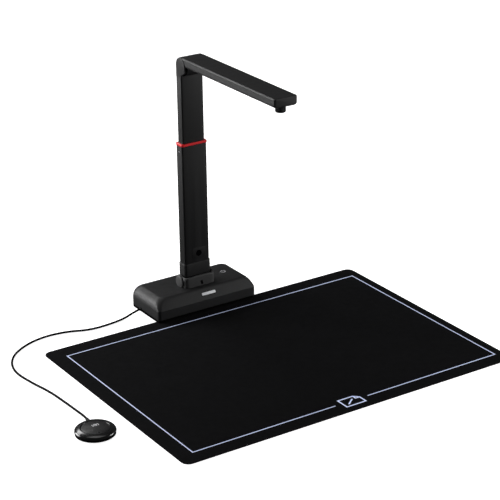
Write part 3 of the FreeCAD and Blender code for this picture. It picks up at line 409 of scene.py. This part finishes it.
def base():
    """The casing with its openings, the power key and its icon."""
    bend = [ROUND_FROM + (BASE_TOP - ROUND_FROM) * sin(radians(a)) for a in range(6, 91, 6)]
    levels = sorted({SEAM + 0.4, 12, 17, ROUND_FROM, CREASE - 0.35, CREASE, CREASE + 0.35,
                     SLOPE_TOP, SLOPE_TOP + 0.6, SLOPE_TOP + 1.6, *bend})
    outer = [base_ring(SEAM, 0.35)] + [base_ring(z) for z in levels]
    wall = 2.5
    inner = [[(x, y, z - wall) for x, y, _ in base_ring(z, wall)] for z in levels if z > 14]
    rim = [[(x, y, SEAM) for x, y, _ in base_ring(SEAM, wall)]]
    shell = mesh_object("base_casing", *loft(inner[::-1] + rim + outer))
    key_low, key_high = cad("power_key")
    key_mid = (key_low + key_high) / 2
    grommet_low, grommet_high = cad("cord_grommet")
    cord_mid = (grommet_low + grommet_high) / 2
    usb_low, usb_high = cad("usb_socket")
    gap, key_hole, cord_hole = 0.3, 8.3, 3.6
    carve(shell, tool_rod(key_hole, (key_mid.x, key_mid.y, BASE_TOP - 6), 12),
          tool_rod(cord_hole, (grommet_low.x - 4, cord_mid.y, cord_mid.z), 16, "X"),
          tool_box(usb_low.x - gap, usb_high.x + gap, usb_high.y - 5, usb_high.y + 9,
                   usb_low.z - gap, usb_high.z + gap))
    piece(shell, "case", "base", ["base_top_shell"])

    cap_rad, top = 8.0, BASE_TOP + 0.2
    profile = [(0.5, key_low.z), (1.8, key_low.z), (1.8, 37.9), (9.2, 37.9), (9.2, 38.9),
               (cap_rad, 38.9), (cap_rad, top - 0.5), (cap_rad - 0.15, top - 0.15),
               (cap_rad - 0.5, top), (cap_rad - 2, top - 0.05), (0.5, top - 0.25)]
    cap = mesh_object("power_key_cap", *loft(lathe(profile, (key_mid.x, key_mid.y, 0))))
    piece(cap, "case", "power_key", ["power_key"])
    power = [(arc(0, 0, 4.2, 125, 415, 20), False), ([(0, 1.4), (0, 5.4)], False)]
    spot = lambda u, v, w: (key_mid.x + u, key_mid.y + v, top - 0.12 + w)
    icon = mesh_object("power_icon", *stroke_mesh(power, 1.3, spot, 0.18))
    piece(icon, "icon", "power_key")


def badge():
    """A blank plate with softly rounded ends on the sloped band."""
    low, high = cad("blank_badge")
    across = Vector((1, 0, 0))
    along = Vector((0, SLOPE_IN, SLOPE_TOP - CREASE)).normalized()
    out = across.cross(along)
    reach = ((low.y - BASE_LOW.y) + (high.y - BASE_LOW.y)) / 2
    middle = Vector(((low.x + high.x) / 2, BASE_LOW.y + reach,
                     CREASE + reach * (SLOPE_TOP - CREASE) / SLOPE_IN))
    wide, tall = high.x - low.x, 5.0
    profile = rounded(-0.5, 0.35, 0.1, 0.25, 3)
    flat = bar_rings(-wide / 2, wide / 2, -tall / 2, tall / 2, 1.4, profile)
    rings = [[tuple(middle + across * u + along * v + out * w) for u, v, w in ring]
             for ring in flat]
    item = mesh_object("badge_plate", *loft(rings))
    piece(item, "badge", "base", ["blank_badge"])


# ---------------------------------------------------------------- column foot
def foot():
    """The saddle with its slot, its two end discs, and the collar round the column."""
    low, high = cad("hinge_saddle")
    knuckle = cad("foot_knuckle")
    half = -cad("foot_friction_washers")[0].x + 0.1
    rise, lip, front_rad, rear_rad = 2.5, 5.3, 8, 3.2
    rings = bar_rings(low.x, high.x, low.y, high.y, front_rad,
                      rounded(low.z, high.z - rise, 0.6, 2.6, 6), rear=rear_rad)
    upper = len(rings) // 2
    # the arched top isn't flat, and the cut below leaves a sliver of it open at each end
    arched = [[(x, y, z + (rise * (1 - (x / high.x) ** 2) if k >= upper else 0))
               for x, y, z in ring] for k, ring in enumerate(rings)]
    body = mesh_object("hinge_saddle_body", *loft(arched))
    room = tool_box(-half, half, low.y + lip, high.y + 10, low.z - 5, high.z + 5)
    plug_low, plug_high = cad("saddle_slot_plug")
    tilt = radians(16)
    mid = (plug_low + plug_high) / 2
    wide, tall = 2.3, 4
    corners = [(-wide, -tall), (wide, -tall), (wide, tall), (-wide, tall)]
    turned = [(mid.x + u * cos(tilt) - v * sin(tilt), mid.z + u * sin(tilt) + v * cos(tilt))
              for u, v in corners]
    slot = mesh_object("cutter", *loft([[(x, y, z) for x, z in turned]
                                        for y in (low.y - 2, low.y + 6)]))
    carve(body, room, slot)
    piece(body, "saddle", "base", ["hinge_saddle"])

    caps = cad("saddle_end_caps")
    axis_y, axis_z = (knuckle[0].y + knuckle[1].y) / 2, 50.0
    rad, thick = 12.5, caps[1].x - high.x
    dome = [(0.4, thick), (5, thick - 0.1), (8.5, thick - 0.45), (10.6, thick - 1.0),
            (11.9, thick - 1.9), (12.4, thick - 2.9), (rad, 0.3), (rad, 0), (0.4, 0)]
    for name, side in (("left", -1), ("right", 1)):
        rings = lathe([(r, side * (high.x + d)) for r, d in dome], (0, axis_y, axis_z), "X")
        disc = mesh_object(f"saddle_cap_{name}", *loft(rings))
        carve(disc, tool_box(-60, 60, -40, 40, 0, low.z))
        stands = ["saddle_end_caps"] if side < 0 else []
        piece(disc, "saddle", "base", stands)

    low, high = cad("foot_collar")
    tube_low, tube_high = cad("lower_column_tube")
    fit = 0.05
    size = (low.x, high.x, low.y, high.y, 5.0)
    inner = (tube_low.x - fit, tube_high.x + fit, tube_low.y - fit, tube_high.y + fit, 2.6)
    collar = hollow_bar("column_collar", size, inner, rounded(low.z, high.z, 0.5, 0.9),
                        rounded(low.z, high.z, 0, 0, 1))
    piece(collar, "case", "lower_column", ["foot_collar"])


# ---------------------------------------------------------------- column
UPPER_CROWN = 0.4      # how far the upper tube's front bulges


def column():
    """Both tubes, the plate round the window, the side dash and the red ring."""
    low, high = cad("lower_column_tube")
    wall, crown = 1.2, 0.55
    size = (low.x, high.x, low.y + crown, high.y, 3.0)
    inner = (low.x + wall, high.x - wall, low.y + crown + wall - 0.3, high.y - wall, 1.4)
    tube = hollow_bar("lower_column", size, inner, rounded(low.z, high.z, 0.2, 0.2),
                      rounded(low.z, high.z, 0, 0, 1), crown)
    window_low, window_high = cad("sensor_window")
    centre = ((window_low.x + window_high.x) / 2, (window_low.z + window_high.z) / 2)
    front, window_rad = low.y, 5.7

    def window_hole():
        hole = tool_rod(window_rad, (0, 0, 0), 12, steps=48)
        hole.data.transform(Matrix.Rotation(radians(-90), 4, "X"))
        hole.data.transform(Matrix.Translation(Vector((centre[0], front - 4, centre[1])) * MM))
        return hole

    carve(tube, window_hole())
    piece(tube, "column", "lower_column", ["lower_column_tube"])

    wide, tall = 28, 21
    plate = bar_rings(-wide / 2, wide / 2, -tall / 2, tall / 2, 3.5, rounded(-0.5, 0.3, 0, 0.3, 3))
    rings = [[(centre[0] + x, front + 0.25 - z, centre[1] + y) for x, y, z in ring]
             for ring in plate]
    bezel = mesh_object("window_bezel", *loft(rings))
    carve(bezel, window_hole())
    piece(bezel, "column", "lower_column")

    dash_y, dash_z = (-11, -7), (291.4, 292.8)
    dash = solid_bar("side_index_mark", low.x - 0.12, low.x + 0.3, *dash_y, 0.2,
                     rounded(*dash_z, 0.1, 0.1, 2))
    piece(dash, "icon", "lower_column")

    low, high = cad("red_trim_ring")
    up_low, up_high = cad("upper_column_tube")
    gap = 0.3
    size = (low.x, high.x, low.y, high.y, 3.4)
    inner = (up_low.x - gap, up_high.x + gap, up_low.y - gap, up_high.y + gap, 2.4)
    ring = hollow_bar("red_ring", size, inner, rounded(low.z, high.z, 0.5, 0.9),
                      rounded(low.z, high.z, 0, 0.2, 2))
    piece(ring, "red", "lower_column", ["red_trim_ring"])

    crown, wall = UPPER_CROWN, 1.4
    low, high = up_low, up_high
    size = (low.x, high.x, low.y + crown, high.y, 2.6)
    inner = (low.x + wall, high.x - wall, low.y + crown + wall, high.y - wall, 1.0)
    tube = hollow_bar("upper_column", size, inner, rounded(low.z, high.z, 0.2, 0.02),
                      rounded(low.z, high.z, 0, 0, 1), crown)
    piece(tube, "column", "upper_column", ["upper_column_tube"])


# ---------------------------------------------------------------- elbow
ELBOW_Y, ELBOW_Z, ELBOW_SWEEP = -16.0, 445.0, 16.7      # the pin, and the arm's room round it
EAR_Y, EAR_Z, EAR_RAD = -15.05, 446.25, 14.75
EAR_IN, EAR_OUT, EAR_ROUND = 18.2, 22.0, 1.8      # in X
BARREL_RAD, BARREL_HALF, PIN_BORE = 16.4, 17.4, 2.56
BRIDGE = 8      # how far in front of the pin the barrel's flat top reaches, to meet the shell


def elbow():
    """The fork's floor and ears on the column, and on the arm the barrel and near-black discs
    beside it that paint the shade in its gaps.
    """
    up_low, up_high = cad("upper_column_tube")
    crown = UPPER_CROWN
    block = solid_bar("fork_floor", up_low.x, up_high.x, up_low.y + crown, up_high.y, 2.6,
                      rounded(up_high.z - 0.01, up_high.z + 2, 0, 1.2), crown=crown)
    front, tip, toe, toe_drop = up_low.y + crown, EAR_Y - EAR_RAD, 5.2, 7.9
    foot = up_high.z - 0.02
    ear = ([(up_high.y, foot)] + arc(EAR_Y, EAR_Z, EAR_RAD, 0, 180, 36)
           + arc(tip + toe, EAR_Z - toe_drop, toe, 180, 245, 8)
           + [(front, foot + 2.7), (front, foot)])
    for name, side in (("left", -1), ("right", 1)):
        edge = [radians(15 * k) for k in range(7)]
        sections = [(EAR_IN, 0.3), (EAR_IN + 0.3, 0)]
        sections += [(EAR_OUT - EAR_ROUND * (1 - sin(a)), EAR_ROUND * (1 - cos(a))) for a in edge]
        item = side_loft(f"fork_ear_{name}", ear, [(side * x, inset) for x, inset in sections])
        piece(item, "column", "upper_column")
    piece(block, "column", "upper_column", ["elbow_fork"])

    top = cad("arm_top_shell")[1].z - 0.1
    meet = 119.2      # the angle at which the barrel's circle passes the front of its flat top
    rise = sqrt(BARREL_RAD ** 2 - BRIDGE ** 2)
    shape = ([(ELBOW_Y - BRIDGE, top), (ELBOW_Y - BRIDGE, ELBOW_Z + rise)]
             + arc(ELBOW_Y, ELBOW_Z, BARREL_RAD, meet, 450, 60))
    sections = [(-BARREL_HALF, 0.4), (-BARREL_HALF + 0.4, 0), (BARREL_HALF - 0.4, 0),
                (BARREL_HALF, 0.4)]
    barrel = side_loft("arm_barrel", shape, sections)
    carve(barrel, tool_rod(PIN_BORE, (-BARREL_HALF - 2, ELBOW_Y, ELBOW_Z), 2 * BARREL_HALF + 4,
                           "X"))
    piece(barrel, "case", "arm", ["elbow_barrel"])
    # near-black discs in the gaps beside the barrel: painted shade
    gap_shade_in, gap_shade_out = 8.4, 16.2
    for name, side in (("left", -1), ("right", 1)):
        near, far = side * (BARREL_HALF + 0.02), side * (BARREL_HALF + 0.35)
        profile = [(gap_shade_in, near), (gap_shade_out, near), (gap_shade_out, far), (gap_shade_in, far)]
        rings = lathe(profile, (0, ELBOW_Y, ELBOW_Z), "X")
        gap_shade = mesh_object(f"elbow_gap_shade_{name}", *loft(rings, closed=True))
        piece(gap_shade, "hidden", "arm")


# ---------------------------------------------------------------- arm
UNDER_RAD = 4.2      # the rounding of the arm's two long lower edges


def arm_rings(low, high, top_rad, end, rear):
    """Cross-sections of the arm between two heights, from its free end to its rear.

    The arm's two long lower edges are well rounded, its upper ones a little, and its end slightly.
    """
    rounded_top = top_rad > 1
    bottom, corner, crest = cad("arm_bottom_cover")[0].z, 3.0, 1.4 if rounded_top else 0.0
    arm_half = 22.0
    turns = [radians(10 * k) for k in range(10)]
    heights = [bottom + UNDER_RAD * (1 - cos(a)) for a in turns] + [bottom + UNDER_RAD + HOLD]
    heights = [low] + [z for z in heights if low + 0.1 < z < high - top_rad - 0.1]
    rings = []
    # d runs back from the free end, closely where its corners round
    for d in (0, 0.15, 0.5, 1.0, 1.7, 2.4, 3.2, 4.5, rear - end):
        short = lambda rad: rad - sqrt(max(0, rad ** 2 - max(0, rad - d) ** 2))
        half, top = arm_half - short(corner), high - short(crest)
        side = []
        for z in heights:
            under = UNDER_RAD - min(z - bottom, UNDER_RAD)
            side.append((half - UNDER_RAD + sqrt(UNDER_RAD ** 2 - under ** 2), z))
        crown = arc(half - top_rad, top - top_rad, top_rad, 0, 90, 6)
        if rounded_top:
            crown = [(half, top - top_rad - HOLD), *crown, (half - top_rad - HOLD, top)]
        side += crown
        rings.append([(x, end + d, z) for x, z in side]
                     + [(-x, end + d, z) for x, z in reversed(side)])
    return rings


def rear_cutters():
    """What the arm's rear leaves free: each ear's sweep, and the barrel with its flat top."""
    sides = [tool_rod(ELBOW_SWEEP, (start, ELBOW_Y, ELBOW_Z), 12, "X", 96)
             for start in (-BARREL_HALF - 12.05, BARREL_HALF + 0.05)]
    inner = tool_rod(BARREL_RAD + 0.06, (-BARREL_HALF - 0.2, ELBOW_Y, ELBOW_Z),
                     2 * BARREL_HALF + 0.4, "X", 96)
    bridge = tool_box(-BARREL_HALF - 0.1, BARREL_HALF + 0.1, ELBOW_Y - BRIDGE - 0.06, 20,
                      ELBOW_Z - 15, ELBOW_Z + 35)
    return [*sides, inner, bridge]


def arm():
    """The arm's shell and cover, the lens ring and its front glass."""
    shell_low, shell_high = cad("arm_top_shell")
    cover_low, cover_high = cad("arm_bottom_cover")
    end, rear = shell_low.y, ELBOW_Y - 5
    shell = mesh_object("arm_shell", *loft(arm_rings(shell_low.z, shell_high.z, 2.2, end, rear)))
    carve(shell, *rear_cutters())
    piece(shell, "case", "arm", ["arm_top_shell"])
    cover = mesh_object("arm_cover", *loft(arm_rings(cover_low.z, cover_high.z, 0.1, end, rear)))
    lens_low, lens_high = cad("focus_ring")
    lens = (lens_low + lens_high) / 2
    lamp_low, lamp_high = cad("light_diffuser")
    gap, lens_hole, screw_hole = 0.15, 7.3, 1.75
    holes = [tool_rod(screw_hole, (x, y, cover_low.z - 4), 12, steps=32)
             for x in (-15, 15) for y in (-270, -60)]
    carve(cover, tool_rod(lens_hole, (lens.x, lens.y, cover_low.z - 4), 12),
          tool_box(lamp_low.x - gap, lamp_high.x + gap, lamp_low.y - gap, lamp_high.y + gap,
                   cover_low.z - 4, cover_high.z + 4), *holes, *rear_cutters())
    piece(cover, "case", "arm", ["arm_bottom_cover"])

    low, high, rad = lens_low.z, lens_high.z, (lens_high.x - lens_low.x) / 2
    profile = [(5.2, low + 0.3), (5.5, low), (rad - 1.3, low), (rad - 0.7, low + 0.25),
               (rad - 0.35, low + 0.8), (rad, low + 1.3), (rad, low + 1.31), (rad, high - 1.21),
               (rad, high - 1.2), (rad - 0.3, high - 0.8), (rad - 0.5, high), (7.07, high),
               (7.07, low + 1.2), (5.2, low + 1.2)]
    rings = lathe(profile, (lens.x, lens.y, 0), steps=240,
                  ribs=(30, 0.45, low + 1.305, high - 1.205, 8))
    ring = mesh_object("ribbed_focus_ring", *loft(rings, closed=True))
    piece(ring, "lens", "focus_ring", ["focus_ring"], sharp=45)
    face = low + 2.6
    dome = [(4.66, face + 1.4), (4.66, face + 0.5), (3.6, face + 0.2), (2.2, face),
            (0.3, face - 0.1)]
    glass = mesh_object("front_glass", *loft(lathe(dome, (lens.x, lens.y, 0))))
    piece(glass, "glass", "arm", ["lens_glasses"])


# ---------------------------------------------------------------- mat
def mat():
    """The mat with its printed line, and a page symbol in the line's gap."""
    low, high = cad("scan_mat")
    item = solid_bar("scanning_mat", low.x, high.x, low.y, high.y, 13,
                     rounded(low.z, high.z, 0.3, 0.7))
    piece(item, "mat", "base", ["scan_mat"])

    thick, wide = 0.06, 2.0
    x0, x1, y0, y1 = -292.5, 299.5, -475.8, -72.5
    gap = (-28.0, 35.0)
    lines = [([(gap[0], y0), (x0, y0), (x0, y1), (x1, y1), (x1, y0), (gap[1], y0)], False)]
    print_at = lambda u, v, w: (u, v, high.z - 0.01 + w)
    frame_line = mesh_object("mat_line_frame", *stroke_mesh(lines, wide, print_at, thick))
    piece(frame_line, "print", "base")

    # the page has one corner folded and a diagonal
    left, right, foot_y, top_y, fold = -15.0, 22.0, -489.0, -464.0, 8.0
    page = [(left, foot_y), (right, foot_y), (right, top_y - fold), (right - fold, top_y),
            (left, top_y)]
    corner = [(right - fold, top_y), (right - fold, top_y - fold), (right, top_y - fold)]
    slant = [(left + 8, foot_y + 6), (right - fold - 6, top_y - 7)]
    strokes = [(page, True), (corner, False), (slant, False)]
    mark = mesh_object("mat_sheet_symbol", *stroke_mesh(strokes, 2.6, print_at, thick))
    piece(mark, "mark", "base")


# ---------------------------------------------------------------- hand button and cord
CORD = [
    (-103, 13.5, 6.4), (-117, 10, 5.6), (-138, 4.4, 1.9), (-173, -2.5, 1.9), (-213, -3, 1.9),
    (-248, 14, 1.9), (-293, 18, 1.9), (-337, 3.5, 1.9), (-374, -26, 1.9), (-393, -72, 1.9),
    (-388, -124, 1.9), (-377.5, -174, 1.9), (-374.5, -222, 1.9), (-373, -262, 2.1),
    (-374.6, -285, 4.9), (-376.3, -296.5, 5.7),
]
CORD_WIDE, CORD_LONG = 3.8, 562.0


def hand_button():
    """The body's rim, the cap and its icon."""
    low, high = cad("puck_rim")
    mid = (low + high) / 2
    rad, hole = (high.x - low.x) / 2, 22.4
    profile = [(hole, low.z), (rad - 0.4, low.z), (rad, low.z + 0.4), (rad, low.z + 1.2),
               (rad - 0.2, low.z + 2.0), (rad - 0.7, low.z + 2.9), (rad - 1.5, low.z + 3.7),
               (rad - 2.6, low.z + 4.4), (rad - 4.0, high.z - 1.1), (rad - 5.5, high.z - 0.65),
               (rad - 7.2, high.z - 0.28), (rad - 8.9, high.z - 0.06), (rad - 9.6, high.z),
               (hole + 0.3, high.z - 0.05), (hole, high.z - 0.35)]
    rings = lathe(profile, (mid.x, mid.y, 0), steps=128)
    rim = mesh_object("puck_body", *loft(rings, closed=True))
    piece(rim, "gloss", "base", ["puck_rim"], sharp=50)

    low, high = cad("button_cap")
    cap_rad = (high.x - low.x) / 2
    edge, under = high.z - 1.9, high.z - 2.6
    profile = [(0.3, under), (cap_rad - 2, under), (cap_rad - 2, low.z), (cap_rad, low.z),
               (cap_rad, edge - 0.3), (cap_rad - 0.15, edge), (cap_rad - 0.5, edge + 0.3),
               (cap_rad - 1.2, edge + 0.55), (cap_rad - 3, edge + 0.85), (cap_rad - 6, edge + 1.25),
               (cap_rad - 10, edge + 1.6), (cap_rad - 14, high.z - 0.08), (cap_rad - 16, high.z),
               (0.3, high.z)]
    cap = mesh_object("puck_cap", *loft(lathe(profile, (mid.x, mid.y, 0), steps=128)))
    piece(cap, "cap", "hand_button", ["button_cap"], sharp=50)

    # a generic "capture" symbol: a ring, a dot and two brackets, on the cap's rear half
    spot = lambda u, v, w: (mid.x + 2.5 + u, mid.y + 4.4 + v, high.z - 0.04 + w)
    signs = [(arc(0, 0, 2.6, 0, 345, 24), True), (arc(0, 0, 0.45, 0, 300, 5), True),
             (arc(0, 0, 5.2, 140, 220, 10), False), (arc(0, 0, 5.2, -40, 40, 10), False)]
    icon = mesh_object("puck_icon", *stroke_mesh(signs, 1.1, spot, 0.12))
    piece(icon, "white_icon", "hand_button")


def cord():
    """The cord as one spline, and a strain relief at each end."""
    route = [Vector(p) * MM for p in CORD]
    curve = bpy.data.curves.new("button_cord_line", "CURVE")
    curve.dimensions = "3D"
    spline = curve.splines.new("NURBS")
    spline.points.add(len(route) - 1)
    for point, where in zip(spline.points, route):
        point.co = (*where, 1)
    spline.order_u = 3
    spline.use_endpoint_u = True
    spline.resolution_u = 16
    curve.bevel_depth = CORD_WIDE / 2 * MM
    curve.bevel_resolution = 6
    curve.use_fill_caps = True
    item = bpy.data.objects.new("hand_button_cord", curve)
    bpy.context.scene.collection.objects.link(item)
    piece(item, "lead", "base", ["button_cord"])

    def relief(name, start, toward, profile, node):
        """A ribbed strain relief that tapers along the cord."""
        turn = Vector((0, 0, 1)).rotation_difference(toward)
        rings = [[tuple(start + turn @ Vector(point)) for point in ring]
                 for ring in lathe(profile, (0, 0, 0), steps=32)]
        piece(mesh_object(name, *loft(rings, closed=True)), "rubber", "base", [node])

    rad = CORD_WIDE / 2 + 0.03
    first, last = Vector(CORD[0]), Vector(CORD[-1])
    inner, outer = cad("cord_grommet")[1].x, cad("cord_grommet")[0].x
    sleeve = [(rad, 0), (rad + 0.7, 0), (rad + 1.2, 0.3), (3.45, 1.4), (3.5, 1.8),
              (3.5, inner - outer), (rad, inner - outer)]
    relief("cord_sleeve", Vector((outer, first.y, first.z)), Vector((1, 0, 0)), sleeve,
           "cord_grommet")
    puck_low, puck_high = cad("puck_rim")
    centre = (puck_low + puck_high) / 2
    away = Vector((last.x - centre.x, last.y - centre.y, 0))
    reach, boot_from = away.length, 28.5
    away.normalize()
    start = centre + away * boot_from
    start.z = last.z
    long = reach - boot_from
    steps = [(3.1, 0), (3.1, long * 0.42), (2.65, long * 0.46), (2.65, long * 0.54),
             (2.95, long * 0.57), (2.9, long * 0.68), (2.5, long * 0.72), (2.5, long * 0.8),
             (2.7, long * 0.83), (2.55, long * 0.96), (rad + 0.3, long), (rad, long), (rad, 0)]
    relief("puck_cord_boot", start, away, steps, "cord_boot")


# ---------------------------------------------------------------- the parts kept from the frame
def kept_nodes():
    """Gives every CAD node its slot's material; the replaced ones are hidden."""
    for row in frame["record"]["subparts"]:
        item = frame["nodes"][row["node"]]
        item.data.materials.clear()
        item.data.materials.append(LOOKS[SLOT_LOOKS[row["material_slot"]]])


# ---------------------------------------------------------------- studio
CAMERA_LENS, CAMERA_PLACE = 129.67, (-1.5128, -2.5323, 1.3217)
CAMERA_TURN = ((-32.86, "Z"), (67.466, "X"), (-0.847, "Z"))      # degrees about each axis in turn
WORLD_STRENGTH = 0.07


def studio():
    """The pale floor and walls, the soft lights, and the camera fitted to the photo."""
    reach, wall_high, drop = 30.0, 12.0, -0.0002
    square = [(-reach, -reach), (reach, -reach), (reach, reach), (-reach, reach)]
    low, high = [[(x, y, z) for x, y in square] for z in (drop, wall_high)]
    sides = [(k, (k + 1) % 4, (k + 1) % 4 + 4, k + 4) for k in range(4)]
    pale = material("pale_floor", (0.93, 0.93, 0.93), 0.8, grain=2, bump=0.0, tone=0.005, glow=0.9)
    for name, verts, faces in (("floor", low, [(0, 1, 2, 3)]), ("backdrop", low + high, sides)):
        mesh = bpy.data.meshes.new(name)
        mesh.from_pydata(verts, [], faces)
        mesh.materials.append(pale)
        item = bpy.data.objects.new(name, mesh)
        bpy.context.scene.collection.objects.link(item)
        item.visible_diffuse = False
        item.visible_glossy = False
        item.visible_shadow = name == "floor"

    world = bpy.data.worlds.new("studio")
    bpy.context.scene.world = world
    world.use_nodes = True
    sky = world.node_tree.nodes["Background"]
    sky.inputs["Color"].default_value = (1, 1, 1, 1)
    sky.inputs["Strength"].default_value = WORLD_STRENGTH

    def area(name, place, aim, size, power):
        lamp = bpy.data.lights.new(name, "AREA")
        lamp.shape = "RECTANGLE"
        lamp.size, lamp.size_y = size
        lamp.energy = power
        item = bpy.data.objects.new(name, lamp)
        item.location = place
        item.rotation_euler = (Vector(aim) - Vector(place)).to_track_quat("-Z", "Y").to_euler()
        bpy.context.scene.collection.objects.link(item)

    area("left_softbox", (-1.85, 1.7, 0.7), (0, 0, 0.3), (1.5, 1.3), 76)
    area("rear_softbox", (-0.5, 1.6, 1.5), (-0.1, -0.2, 0.2), (1.6, 0.5), 18)
    area("top_softbox", (-0.1, 0.1, 2.6), (0, -0.1, 0), (1.6, 1.6), 10)
    area("front_softbox", (1.5, -1.1, 0.5), (0, 0, 0.25), (0.8, 0.7), 21)

    camera = bpy.data.cameras.new("camera")
    camera.sensor_width = 36
    camera.lens = CAMERA_LENS
    camera.clip_end = 100
    view = bpy.data.objects.new("camera", camera)
    bpy.context.scene.collection.objects.link(view)
    placed = Matrix.Translation(CAMERA_PLACE)
    for angle, axis in CAMERA_TURN:
        placed = placed @ Matrix.Rotation(radians(angle), 4, axis)
    view.matrix_world = placed
    bpy.context.scene.camera = view
    bpy.context.scene.view_settings.view_transform = "Standard"


studio()
kept_nodes()
cord()
base()
badge()
foot()
column()
elbow()
arm()
mat()
hand_button()
